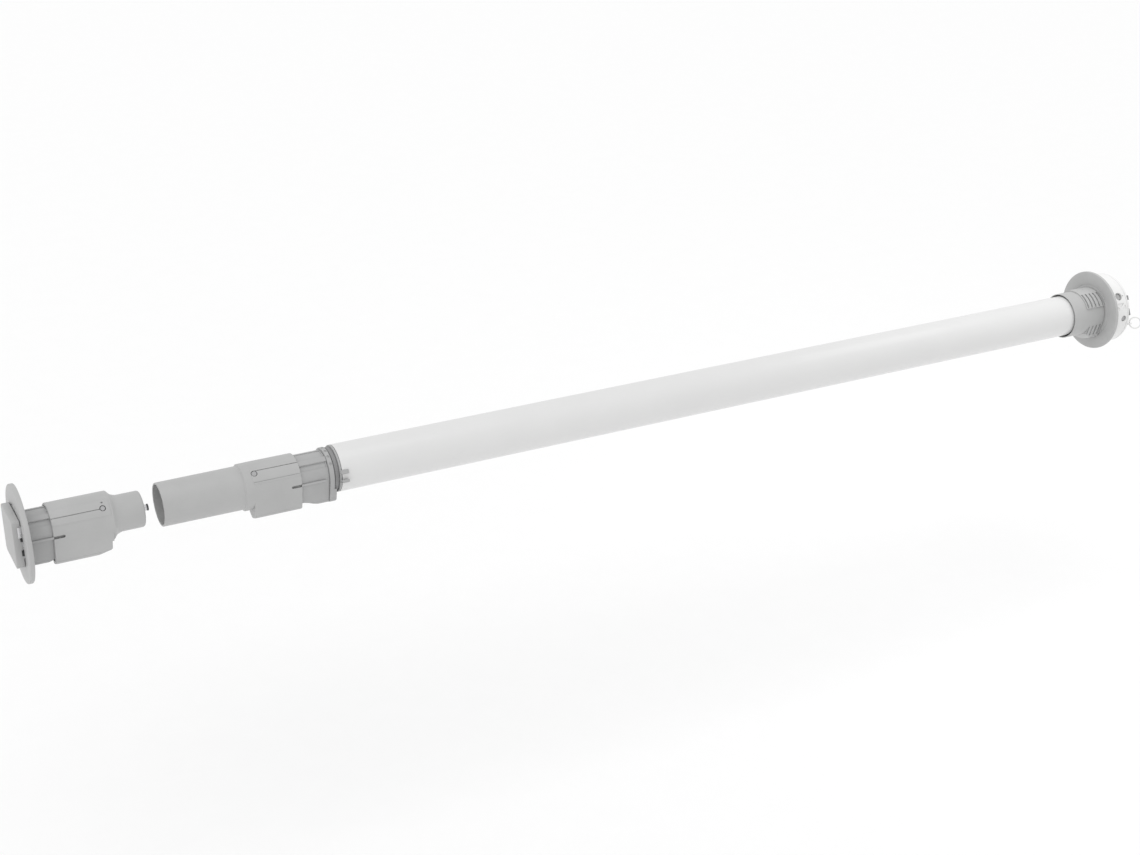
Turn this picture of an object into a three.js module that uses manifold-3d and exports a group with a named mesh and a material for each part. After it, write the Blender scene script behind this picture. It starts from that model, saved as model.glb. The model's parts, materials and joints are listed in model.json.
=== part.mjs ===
// Tubular motor drive for a roller blind, with its crown, drive adapter and telescopic idler.
// Millimetres, +Z up. The origin is the centre of the motor head's end face, and +X is the
// roller axis, pointing out of the head, so the whole drive lies at negative x.

import * as THREE from 'three';
import { mergeVertices } from 'three/addons/utils/BufferGeometryUtils.js';
import Module from 'manifold-3d';

const wasm = await Module();
wasm.setup();

// ---------------------------------------------------------------- driving dimensions

const GAP = 0.3; // clearance between pieces that touch
const KEEL_ROLL = -24; // degrees that the keel is rolled from straight down, towards the front
const ROUND = 40; // segments of the large round pieces
const SMALL = 16; // segments of the small round pieces

// Stations along the roller axis.
const X = {
  plateOuter: -1245.0,
  plateInner: -1240.6,
  idlerDiscOuter: -1237.4,
  idlerDiscInner: -1233.1,
  bearingStart: -1228.5,
  bearingEnd: -1219.1,
  idlerMouth: -1211.5,
  idlerPinEnd: -1200.5,
  springStart: -1196.5,
  idlerHubEnd: -1175.0,
  idlerScrew: -1166.0,
  idlerBoreEnd: -1164.5,
  idlerKeelEnd: -1162.0,
  idlerStepEnd: -1156.8,
  idlerStub: -1151.0,
  idlerStubEnd: -1129.1,
  boltStart: -1163.9,
  nutStart: -1124.2,
  boltEnd: -1123.2,
  sleeveMouth: -1113.5,
  sleeveBoreEnd: -1049.5,
  driveBoreStart: -1029.6,
  driveCore: -1038.5,
  driveKeel: -1031.5,
  sleeveScrew: -1027.7,
  driveHubStart: -1018.9,
  shaftStart: -1014.5,
  circlip: -1011.0,
  driveMouth: -985.6,
  flangeOuter: -958.4,
  flangeInner: -953.8,
  sealStart: -953.2,
  flangeLobe: -951.5,
  endRingOuter: -948.9,
  tubeStart: -946.7,
  outputBearing: -938.5,
  endRingEnd: -930.5,
  gearbox: -911.5,
  gearboxEnd: -884.5,
  stator: -872.5,
  statorEnd: -792.5,
  rotorBearing: -783.5,
  brake: -770.5,
  brakeEnd: -734.5,
  capacitor: -704.5,
  capacitorEnd: -649.5,
  board: -194.5,
  boardEnd: -74.5,
  tubeEnd: -28.5,
  crownRim: -68.8,
  shoulder: -51.0,
  crownKeel: -46.5,
  grooveStart: -50.0,
  crownDisc: -26.0,
  crownDiscEnd: -22.9,
  headStart: -22.4,
  headFloor: -18.6,
  coverStart: -4.0,
  coverRim: -1.0,
};

// Radii and wall sizes.
const TUBE_R = 22.5;
const TUBE_WALL = 1.2;
const PLUG_R = TUBE_R - TUBE_WALL - GAP; // anything that fits inside the motor tube
const DISC_R = 44.5;
const HEAD_R = 39;
const PAD_R = 24; // raised bracket face in the middle of the head's end
const SEAT_R = 32; // the roller tube butts against each disc outside this radius
const IDLER_R = 22.4; // round top of the idler's body
const DRIVE_R = 22.1; // round top of the drive sleeve's keyed body
const STRIP = 0.6; // height of the raised strip on each side of a body
const HUB_R = 19.8;
const HUB_RIB_R = 21.2;
const STUB_R = 16.6;
const SLEEVE_R = 20.2;
const SLEEVE_BORE_R = 18.4;
const CROWN_R = 25.2;
const CROWN_BORE_R = 24.2;
const CROWN_KEEL_TIP = [[4.4, -31.0], [6.6, -30.0], [8.2, -28.4]];
const SHOULDER_R = 26.7;
const SHOULDER_START = 5; // degrees above the horizontal at which the shoulder begins
const GROOVES = 5;
const GROOVE_PITCH = 5.3;
const GROOVE_WIDTH = 2.0;
const GROOVE_LOW = 3;
const GROOVE_HIGH = 19;
const PLATE_SIDE = 45.5;
const TELESCOPE = 9; // travel of each hub in its body
const RIB_HALF = 0.95; // half the thickness of a hub's narrow rib
const SLOT_HALF = 1.3; // half the width of the slot that takes it
const WELL_R = 11.3; // bearing seat and spring pocket of the idler's hub
const PIN_R = 6; // the idler's axle
const DAMPER_BORE_R = 12.6;
const DAMPER_R = 15.2; // above the axis
const DAMPER_LOW_R = 19.6; // below the axis
const BOLT_R = 2.9;
const BOLT_TIP_R = 2.2;
const NUT_R = 3.1;
const SHAFT_R = 7;
const ROTOR_SHAFT_R = 4;
const ROTOR_R = 13;
const BOARD_HALF = 0.8; // half the circuit board's thickness
const HEAD_WALL_R = 36.3; // inside of the head's round wall
const NECK_BORE_R = 9; // wiring passage from the head into the tube

// Radial controls and screws: place along the axis, angle from +Y towards +Z, and radius.
const BUTTON = { x: -13.5, angle: 165.8, radius: 4.5 };
const LIMIT = { x: -9.5, angle: 204.7, radius: 3.1 };
const IDLER_SCREW = { x: X.idlerScrew, angle: 159.6, radius: 2.4 };
const SLEEVE_SCREW = { x: X.sleeveScrew, angle: 151.5, radius: 2.6 };

// The head's cover: screw circle, and the heights of the notches for its two bracket latches.
const COVER_SCREW_ORBIT = 30;
const COVER_SCREW_ANGLES = [0, 90, 250];
const UPPER_LATCH = [3.2, 9.2];
const LOWER_LATCH = [-14.2, -5.6];
const LATCH_DEPTH = 33; // how far from the axis a notch's floor is
const LATCH_END = 1.2;
const LATCH_START = X.coverStart + 1.5;

// The release ring and the eye that it hangs in.
const EYE = { x: 1.9, y: -30.3, z: -23.6, hole: 1.4, reach: 2.4 };
const RELEASE_R = 6.2;
const WIRE_R = 0.85;
const RING_TILT = 41; // degrees from +X towards the front

// Outline of the keel's tip: half width and height. Its straight sides run on to touch the
// round body KEEL_TOUCH degrees below the horizontal.
const KEEL_TIP = [[4.4, -31.0], [6.4, -30.2], [7.4, -28.8]];
const KEEL_TOUCH = -35;
const IDLER_DROP = 1.4; // how much deeper the keel of the idler's body is
const DRIVE_DROP = -0.7; // how much shallower the keel of the drive sleeve is
const HUB_INSET = 2.6; // how far the hubs' keels lie inside that outline
const SLOT_HEIGHT = -9; // height of the short open slot that takes the hub's narrow rib
const RIB_REACH = 19.8; // half the width across the hub's two narrow ribs

// Planetary gear: module and tooth counts.
const MODULE = 1;
const SUN_TEETH = 12;
const PLANET_TEETH = 12;
const RING_TEETH = 36;
const PLANET_ORBIT = (MODULE * (SUN_TEETH + PLANET_TEETH)) / 2;
const PLANETS = 3;

const LIGHT_GREY = 0xb9bab9;
const HUB_GREY = 0x949595;
const DARK_GREY = 0x4a4c4e;
const WHITE = 0xe9e9e8;
const BLACK = 0x1c1c1d;
const STEEL = 0xaeb0b3;
const DARK_STEEL = 0x3b3c3e;
const COPPER = 0xb26a3c;
const BRASS = 0xb89a55;
const BOARD_GREEN = 0x2f6b45;

// ---------------------------------------------------------------- helpers

const rad = THREE.MathUtils.degToRad;

// A closed solid for cutting and joining, from any closed three.js geometry.
function solid(geometry) {
  const bare = geometry.index ? geometry.toNonIndexed() : geometry.clone();
  for (const name of Object.keys(bare.attributes)) {
    if (name !== 'position') bare.deleteAttribute(name);
  }
  const merged = mergeVertices(bare, 1e-4);
  const corners = merged.index.array;
  const faces = [];
  for (let i = 0; i < corners.length; i += 3) {
    const [a, b, c] = [corners[i], corners[i + 1], corners[i + 2]];
    if (a !== b && b !== c && c !== a) faces.push(a, b, c);
  }
  const made = new wasm.Manifold(new wasm.Mesh({
    numProp: 3,
    vertProperties: merged.attributes.position.array,
    triVerts: new Uint32Array(faces),
  }));
  return made;
}

// The three.js geometry of a solid.
function geometryOf(body) {
  const mesh = body.getMesh();
  const geometry = new THREE.BufferGeometry();
  geometry.setAttribute('position', new THREE.Float32BufferAttribute(mesh.vertProperties, 3));
  geometry.setIndex([...mesh.triVerts]);
  const flat = geometry.toNonIndexed();
  flat.computeVertexNormals();
  return flat;
}

const vectors = (points) => points.map(([x, y]) => new THREE.Vector2(x, y));

// Twice the signed area of a closed outline: positive where it runs anticlockwise.
function turnOf(points) {
  return points.reduce((sum, [x, y], i) => {
    const [nx, ny] = points[(i + 1) % points.length];
    return sum + x * ny - nx * y;
  }, 0);
}

// A solid turned about the X axis from a closed profile of [x, radius] points.
function turned(profile, segments = ROUND) {
  const ordered = turnOf(profile) < 0 ? profile : [...profile].reverse();
  const loop = [...ordered, ordered[0]];
  const geometry = new THREE.LatheGeometry(vectors(loop.map(([x, r]) => [r, x])), segments);
  return solid(geometry.rotateZ(-Math.PI / 2));
}

// A plain ring or, with no inner radius, a plain disc about the X axis.
function ring(x0, x1, outer, inner = 0, segments = ROUND) {
  return turned([[x0, inner], [x1, inner], [x1, outer], [x0, outer]], segments);
}

// A solid with a constant outline of [y, z] points from x0 to x1.
function prism(outline, x0, x1) {
  const geometry = new THREE.ExtrudeGeometry(new THREE.Shape(vectors(outline)), {
    depth: x1 - x0,
    bevelEnabled: false,
  });
  const along = new THREE.Matrix4().makeBasis(
    new THREE.Vector3(0, 1, 0),
    new THREE.Vector3(0, 0, 1),
    new THREE.Vector3(1, 0, 0),
  );
  return solid(geometry.applyMatrix4(along.setPosition(x0, 0, 0)));
}

// A solid with a constant outline of [x, z] points, from -half to +half across the axis.
function across(outline, half) {
  const geometry = new THREE.ExtrudeGeometry(new THREE.Shape(vectors(outline)), {
    depth: 2 * half,
    bevelEnabled: false,
  });
  return solid(geometry.translate(0, 0, -half).rotateX(Math.PI / 2));
}

// A box between two corners.
function block(low, high) {
  const size = high.map((value, i) => value - low[i]);
  const centre = high.map((value, i) => (value + low[i]) / 2);
  return solid(new THREE.BoxGeometry(...size).translate(...centre));
}

// A round pin along the line that leaves the roller axis at x and the given angle, from
// radius r0 to r1. Angles are measured from +Y towards +Z.
function radialPin(x, degrees, r0, r1, radius, segments = SMALL) {
  const pin = new THREE.CylinderGeometry(radius, radius, r1 - r0, segments);
  pin.translate(0, (r0 + r1) / 2, 0);
  pin.rotateX(rad(degrees)).translate(x, 0, 0);
  return solid(pin);
}

const move = (body, x, y, z) => body.translate([x, y, z]);
const unite = (...bodies) => bodies.reduce((all, next) => all.add(next));
const cut = (body, ...tools) => tools.reduce((rest, tool) => rest.subtract(tool), body);
const flipped = (body) => body.mirror([0, 1, 0]);

const polar = (radius, degrees) => [radius * Math.cos(rad(degrees)), radius * Math.sin(rad(degrees))];

// Points of an arc about the axis, from one angle to another.
function arc(radius, from, to, steps) {
  return Array.from({ length: steps + 1 }, (_, i) => polar(radius, from + ((to - from) * i) / steps));
}

// The right half of an outline, from the keel's tip to the top, mirrored to the left.
function bothSides(right) {
  const left = right.map(([y, z]) => [-y, z]).reverse();
  return [...right, ...left.filter(([y]) => Math.abs(y) > 1e-6)];
}

// The keel's tip moved inwards by an inset and down by a drop, and the round side that it runs up to.
function keeledSide(inset, radius, drop = 0) {
  const tip = KEEL_TIP.map(([y, z]) => [y - inset, z + 0.6 * inset - drop]);
  return [...tip, ...arc(radius, KEEL_TOUCH, 0, 5)];
}

// Outline of a keeled body: keel, raised side strip, round top.
function bodyOutline(radius, drop) {
  return bothSides([
    ...keeledSide(0, radius, drop),
    ...arc(radius + STRIP, 5, 40, 5),
    ...arc(radius, 41, 90, 7),
  ]);
}

// Outline of a ribbed hub, grown by a clearance to make the bore that takes it.
function hubOutline(clearance = 0) {
  const spread = clearance * 2.7;
  return bothSides([
    ...keeledSide(HUB_INSET - clearance, HUB_R + clearance),
    ...arc(HUB_R + clearance, 5, 25 - spread, 3),
    ...arc(HUB_RIB_R + clearance, 25 - spread, 38 + spread, 2),
    ...arc(HUB_R + clearance, 38 + spread, 90, 7),
  ]);
}

// The two narrow ribs of a hub, and the slots that take them.
function sideBars(x0, x1, halfHeight, inner, outer) {
  const bar = block([x0, inner, SLOT_HEIGHT - halfHeight], [x1, outer, SLOT_HEIGHT + halfHeight]);
  return bar.add(flipped(bar));
}

// Outline of a rounded rectangle centred on the axis.
function roundedRectangle(width, height, corner) {
  const quarter = (cy, cz, from) => arc(corner, from, from + 90, 4).map(([y, z]) => [y + cy, z + cz]);
  const y = width / 2 - corner;
  const z = height / 2 - corner;
  return [...quarter(y, z, 0), ...quarter(-y, z, 90), ...quarter(-y, -z, 180), ...quarter(y, -z, 270)];
}

// Outline of a spur gear: straight-sided teeth, the first one centred on the given angle.
// An outside gear has teeth that point outwards, and an inside gear has them pointing in.
function gearOutline(teeth, phase, inside = false) {
  const pitch = (MODULE * teeth) / 2;
  const tip = pitch + (inside ? -0.8 : 0.8) * MODULE;
  const root = pitch + (inside ? 1.15 : -1.15) * MODULE;
  const half = 90 / teeth;
  const tipHalf = half * 0.4;
  const rootHalf = half * 1.2;
  return Array.from({ length: teeth }, (_, i) => {
    const centre = phase + (360 * i) / teeth;
    return [
      polar(root, centre - rootHalf),
      polar(tip, centre - tipHalf),
      polar(tip, centre + tipHalf),
      polar(root, centre + rootHalf),
    ];
  }).flat();
}

// ---------------------------------------------------------------- materials and assembly

const drive = new THREE.Group();
drive.name = 'roller_blind_drive';
const rolled = new THREE.Group(); // everything keyed to the keel
rolled.rotation.x = rad(KEEL_ROLL);
drive.add(rolled);

function add(name, body, color, roughness = 0.5, metalness = 0, group = rolled) {
  const material = new THREE.MeshStandardMaterial({ color, roughness, metalness });
  const mesh = new THREE.Mesh(geometryOf(body), material);
  mesh.name = name;
  group.add(mesh);
}

// A roller end disc: its seat for the tube stands a little proud of the inner zone.
function endDisc(backX, seatX, boreR) {
  const relief = seatX + 0.5 * Math.sign(backX - seatX);
  return turned([
    [backX, boreR], [backX, DISC_R], [seatX, DISC_R], [seatX, SEAT_R], [relief, SEAT_R], [relief, boreR],
  ]);
}

// ---------------------------------------------------------------- idler unit

function idlerPlateParts() {
  const half = PLATE_SIDE / 2;
  const lipEnd = X.plateInner + 2.7;
  const outline = roundedRectangle(PLATE_SIDE, PLATE_SIDE, 4);
  const pinBore = ring(X.plateOuter + 1.6, X.plateInner + 1, 9 + GAP, 0, SMALL);
  const holeAt = half - 6.5;
  const holes = [[1, 1], [1, -1], [-1, 1], [-1, -1]].map(([sy, sz]) => [sy * holeAt, sz * holeAt]);
  const lips = cut(
    prism(outline, X.plateInner - 0.5, lipEnd),
    block([X.plateInner - 1, -half - 1, 1.6 - half], [lipEnd + 1, half + 1, half - 1.6]),
  );
  const plate = cut(
    unite(prism(outline, X.plateOuter, X.plateInner), lips),
    pinBore,
    ...holes.map(([y, z]) => move(ring(X.plateOuter + 1, X.plateInner + 1, 1.5 + GAP, 0, 12), 0, y, z)),
  );
  add('bearing_plate', plate, LIGHT_GREY, 0.55, 0, drive);

  holes.forEach(([y, z], i) => {
    const screw = unite(
      ring(X.plateOuter + 1.6, X.plateInner + 0.5, 1.5, 0, 12),
      ring(X.plateInner + GAP, X.plateInner + 1.7, 3, 0, 12),
    );
    add(`plate_screw_${i + 1}`, move(screw, 0, y, z), STEEL, 0.3, 0.9, drive);
  });

  // The clip: a sheet with a strip on each side. A strip has three lugs, the top one folded back
  // along the plate's side.
  const sheetStart = X.plateInner + GAP;
  const sheetEnd = X.plateInner + 1.3;
  const foldOuter = -half - GAP - 0.8;
  const [foldLow, foldHigh] = [7, 18];
  const sheet = cut(
    block([sheetStart, -half + 1.2, -12.9], [sheetEnd, half - 1.2, 12.9]),
    ring(X.plateInner - 1, X.plateInner + 3, WELL_R + GAP, 0, SMALL),
  );
  const side = unite(
    block([sheetStart, -half, -14], [sheetEnd, -half + 2.6, foldHigh]),
    ...[[foldLow, foldHigh], [-5.4, 5.4], [-14, -10]].map(([low, high]) => block(
      [X.plateInner + 1, -half, low], [lipEnd, -half + 2, high],
    )),
    block([sheetStart, foldOuter, foldLow], [sheetEnd, -half + 1, foldHigh]),
    block([X.plateOuter + 1.2, foldOuter, foldLow], [sheetEnd, -half - GAP, foldHigh]),
  );
  add('plate_clip', unite(sheet, side, flipped(side)), STEEL, 0.4, 0.8, drive);

  const pinHead = X.plateInner + 1.6;
  const pin = turned([
    [X.plateOuter + 1.9, 0], [X.plateOuter + 1.9, 9], [pinHead, 9], [pinHead, PIN_R],
    [X.idlerPinEnd - 1, PIN_R], [X.idlerPinEnd, PIN_R - 1], [X.idlerPinEnd, 0],
  ], SMALL);
  add('idler_pin', pin, STEEL, 0.3, 0.9, drive);
}

function idlerHubParts() {
  const hub = cut(
    unite(prism(hubOutline(), X.idlerDiscInner + GAP, X.idlerHubEnd), sideBars(
      X.idlerDiscInner + 3, X.idlerMouth + 0.5, RIB_HALF, 8, RIB_REACH,
    )),
    ring(X.idlerDiscInner - 1, X.bearingEnd + 0.6, WELL_R, 0, 24),
    ring(X.bearingEnd - 0.4, X.springStart + 2, PIN_R + 0.5, 0, SMALL),
    ring(X.springStart, X.idlerHubEnd + 1, WELL_R + 0.2, 0, 24),
  );
  add('idler_hub', hub, HUB_GREY);

  add('idler_disc', endDisc(X.idlerDiscOuter, X.idlerDiscInner, WELL_R + GAP), LIGHT_GREY);

  // The damper is wider below the axis.
  const damper = cut(
    prism(
      [...arc(DAMPER_LOW_R, 182, 358, 16), ...arc(DAMPER_R, 4, 176, 12)],
      X.idlerDiscOuter - 1.5,
      X.idlerDiscOuter - GAP,
    ),
    ring(X.idlerDiscOuter - 3, X.idlerDiscOuter + 1, DAMPER_BORE_R, 0, 24),
  );
  add('damper_ring', damper, BLACK, 0.8);
  add('bearing_outer_ring', ring(X.bearingStart, X.bearingEnd, 11, 9.2, 24), STEEL, 0.25, 1);
  add('bearing_inner_ring', ring(X.bearingStart, X.bearingEnd, 8.2, PIN_R + GAP, 24), STEEL, 0.25, 1, drive);
}

function idlerBodyParts() {
  const shell = unite(
    prism(bodyOutline(IDLER_R, IDLER_DROP), X.idlerMouth, X.idlerKeelEnd),
    turned([
      [X.idlerMouth + 1, 0], [X.idlerMouth + 1, IDLER_R - 0.4], [X.idlerStepEnd, IDLER_R - 0.4],
      [X.idlerStepEnd + 2.5, STUB_R + 1.4], [X.idlerStub, STUB_R], [X.idlerStubEnd - 2, STUB_R],
      [X.idlerStubEnd - 0.5, STUB_R - 0.7], [X.idlerStubEnd, STUB_R - 2], [X.idlerStubEnd, 0],
    ]),
  );
  const body = cut(
    shell,
    prism(hubOutline(GAP), X.idlerMouth - 1, X.idlerBoreEnd),
    sideBars(X.idlerMouth - 1, X.idlerMouth + TELESCOPE + 0.8, SLOT_HALF, 8, IDLER_R),
    ring(X.idlerBoreEnd - 1, X.idlerStubEnd + 1, BOLT_R + 0.4, 0, SMALL),
    radialPin(IDLER_SCREW.x, IDLER_SCREW.angle, 16, 26, IDLER_SCREW.radius + GAP),
  );
  add('idler_body', body, LIGHT_GREY);
  const screw = radialPin(IDLER_SCREW.x, IDLER_SCREW.angle, 21.6, 22.9, IDLER_SCREW.radius);
  add('idler_screw', screw, STEEL, 0.3, 0.9);

  const bolt = turned([
    [X.boltStart, 0], [X.boltStart, BOLT_R], [X.nutStart - GAP, BOLT_R], [X.nutStart - GAP, BOLT_TIP_R],
    [X.boltEnd - 0.4, BOLT_TIP_R], [X.boltEnd, BOLT_TIP_R - 0.4], [X.boltEnd, 0],
  ], SMALL);
  add('axial_bolt', bolt, STEEL, 0.35, 0.9);
  add('bolt_nut', ring(X.nutStart, X.nutStart + 1.2, NUT_R, BOLT_TIP_R + GAP, SMALL), DARK_STEEL, 0.4, 0.8);
  add('tension_spring', springSolid(X.springStart + 0.4, X.idlerBoreEnd - 0.5, 9.2, 1.1, 5), STEEL, 0.3, 0.9);
}

// A helical compression spring along X, with its wire as a swept circle.
function springSolid(x0, x1, coilR, wireR, turns) {
  class Helix extends THREE.Curve {
    getPoint(t, target = new THREE.Vector3()) {
      const angle = 2 * Math.PI * turns * t;
      const x = x0 + wireR + (x1 - x0 - 2 * wireR) * t;
      return target.set(x, coilR * Math.cos(angle), coilR * Math.sin(angle));
    }
  }
  const wire = new THREE.Shape(vectors(arc(wireR, 0, 360 - 60, 5)));
  return solid(new THREE.ExtrudeGeometry(wire, { steps: turns * 9, extrudePath: new Helix() }));
}

// ---------------------------------------------------------------- drive adapter

function driveSleeveParts() {
  const shell = unite(
    turned([
      [X.sleeveMouth, 0], [X.sleeveMouth, SLEEVE_R - 0.4], [X.sleeveMouth + 0.8, SLEEVE_R],
      [X.driveCore, SLEEVE_R + 0.3], [X.driveCore + 0.6, DRIVE_R - 0.4], [X.driveMouth - 1, DRIVE_R - 0.4],
      [X.driveMouth - 1, 0],
    ]),
    prism(bodyOutline(DRIVE_R, DRIVE_DROP), X.driveKeel, X.driveMouth),
  );
  const sleeve = cut(
    shell,
    ring(X.sleeveMouth - 1, X.sleeveBoreEnd, SLEEVE_BORE_R),
    prism(hubOutline(GAP), X.driveBoreStart, X.driveMouth + 1),
    sideBars(X.driveMouth - TELESCOPE - 0.8, X.driveMouth + 1, SLOT_HALF, 8, DRIVE_R),
    radialPin(SLEEVE_SCREW.x, SLEEVE_SCREW.angle, 16, 26, SLEEVE_SCREW.radius + GAP),
    ring(X.sleeveBoreEnd - 1, X.driveBoreStart + 1, 6, 0, SMALL),
  );
  add('drive_sleeve', sleeve, LIGHT_GREY);
  const screw = radialPin(SLEEVE_SCREW.x, SLEEVE_SCREW.angle, 21.6, 22.6, SLEEVE_SCREW.radius);
  add('sleeve_screw', screw, STEEL, 0.3, 0.9);
}

// The output shaft's outline: round with two flats.
function shaftOutline(radius) {
  const flatAngle = 30;
  return [...arc(radius, flatAngle, 180 - flatAngle, 8), ...arc(radius, 180 + flatAngle, 360 - flatAngle, 8)];
}

// The same thing at three equal angles, on a circle about the axis.
const orbit = (radius, degrees) => [radius * Math.cos(rad(degrees)), radius * Math.sin(rad(degrees))];
const planetPlaces = Array.from({ length: PLANETS }, (_, i) => orbit(PLANET_ORBIT, (360 * i) / PLANETS));

function driveHubParts() {
  const wellEnd = X.driveHubStart + 9.4;
  const flat = prism(shaftOutline(SHAFT_R + GAP), X.driveHubStart - 1, X.flangeInner + 1);
  const hub = cut(
    unite(
      prism(hubOutline(), X.driveHubStart, X.flangeOuter - GAP),
      sideBars(X.driveMouth - 0.5, X.flangeOuter - 4, RIB_HALF, 8, RIB_REACH),
    ),
    flat,
    ring(X.driveHubStart - 1, wellEnd, 12, 0, 24),
  );
  add('drive_hub', hub, HUB_GREY);

  const flangeR = DRIVE_R - 0.3;
  const flangeOutline = bothSides([...keeledSide(0.9, flangeR, DRIVE_DROP), ...arc(flangeR, 5, 90, 12)]);
  const scallops = [28, 62, 118, 152].map((angle) => radialPin(
    (X.flangeOuter + X.flangeInner) / 2, angle, flangeR - 1.2, flangeR + 4, 1.4, 12,
  ));
  // The flange's keel runs on as a lobe that clears the end ring's rim.
  const lobe = cut(
    prism(flangeOutline, X.flangeInner - 1, X.flangeLobe),
    ring(X.flangeInner - 2, X.flangeLobe + 1, TUBE_R + 0.3),
  );
  const flange = unite(cut(prism(flangeOutline, X.flangeOuter, X.flangeInner), flat, ...scallops), lobe);
  add('drive_flange', flange, HUB_GREY);

  const grooveR = 6.4;
  const circlipEnd = X.circlip + 1.3;
  const circlip = cut(
    ring(X.circlip + 0.2, circlipEnd - 0.2, 10, grooveR + 0.5, 24),
    block([X.circlip - 5, -2.2, -14], [circlipEnd + 5, 2.2, 0]),
  );
  add('shaft_circlip', circlip, DARK_STEEL, 0.4, 0.8);

  const carrier = X.gearbox + 3;
  const shaft = unite(
    cut(
      prism(shaftOutline(SHAFT_R), X.shaftStart, carrier + 1),
      ring(X.circlip - 0.4, circlipEnd + 0.1, 9, grooveR, SMALL),
    ),
    ring(carrier, carrier + 3.7, 16.5, 0, 36),
    ...planetPlaces.map(([y, z]) => move(ring(carrier + 3.2, carrier + 15.4, 2.2, 0, SMALL), 0, y, z)),
  );
  add('output_shaft', shaft, STEEL, 0.3, 0.9);
  const innerRace = ring(X.outputBearing - 10.3, X.outputBearing, 9.4, SHAFT_R + GAP, 24);
  add('output_bearing_inner', innerRace, STEEL, 0.25, 1);
}

// ---------------------------------------------------------------- motor

function motorTubeParts() {
  add('motor_tube', ring(X.tubeStart, X.tubeEnd, TUBE_R, TUBE_R - TUBE_WALL), WHITE, 0.35, 0.1);

  // End ring with two retaining tabs on each side that lie on the tube's surface.
  const plugInner = 13.3;
  const lipInner = 9.5;
  const lipStart = X.outputBearing + 1;
  const body = turned([
    [X.endRingOuter, plugInner], [X.endRingOuter, TUBE_R - 0.7], [X.endRingOuter + 0.6, TUBE_R - 0.1],
    [X.tubeStart - GAP, TUBE_R - 0.4], [X.tubeStart - GAP, PLUG_R], [X.endRingEnd, PLUG_R],
    [X.endRingEnd, lipInner], [lipStart, lipInner], [lipStart, plugInner],
  ]);
  const tubeRoom = ring(X.tubeStart - GAP, X.tubeStart + 20, TUBE_R + GAP, PLUG_R);
  const inside = ring(X.endRingOuter - 1, X.endRingEnd, PLUG_R - 0.5, plugInner + 0.7);
  const tabs = [[-5.6, -2.0], [-14.5, -11.5]].map(([low, high]) => cut(
    block([X.endRingOuter + 0.4, -TUBE_R - 1.1, low], [X.tubeStart + 6, -PLUG_R + 3.5, high]),
    tubeRoom,
    inside,
  ));
  add('tube_end_ring', unite(body, ...tabs, ...tabs.map(flipped)), HUB_GREY);
  add('tube_seal', ring(X.sealStart, X.endRingOuter - GAP, 20.9, plugInner + 0.5), DARK_GREY, 0.7);
  const outerRace = ring(X.outputBearing - 10.3, X.outputBearing, 13, 10.7, 24);
  add('output_bearing_outer', outerRace, STEEL, 0.25, 1);
}

function gearboxParts() {
  const gearStart = X.gearbox + 7.5;
  const housing = cut(
    ring(X.gearbox, X.gearboxEnd, PLUG_R),
    prism(gearOutline(RING_TEETH, 0, true), gearStart, X.gearboxEnd - 7),
    ring(X.gearbox - 1, gearStart + 0.1, 17.6),
    ring(X.gearboxEnd - 7.1, X.gearboxEnd + 1, 10, 0, 24),
  );
  add('ring_gear_housing', housing, DARK_GREY, 0.6);

  planetPlaces.forEach(([y, z], i) => {
    const planet = cut(
      prism(
        gearOutline(PLANET_TEETH, (360 * i) / PLANETS + 180 / PLANET_TEETH),
        gearStart + 0.3,
        gearStart + 10,
      ),
      ring(gearStart - 1, gearStart + 11, 2.3, 0, SMALL),
    );
    add(`planet_gear_${i + 1}`, move(planet, 0, y, z), BRASS, 0.4, 0.8);
  });

  const rotorShaft = unite(
    prism(gearOutline(SUN_TEETH, 0), gearStart + 0.5, gearStart + 11),
    ring(gearStart + 10.5, X.brakeEnd - 11, ROTOR_SHAFT_R, 0, SMALL),
  );
  add('rotor_shaft', rotorShaft, STEEL, 0.3, 0.9);
}

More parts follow.
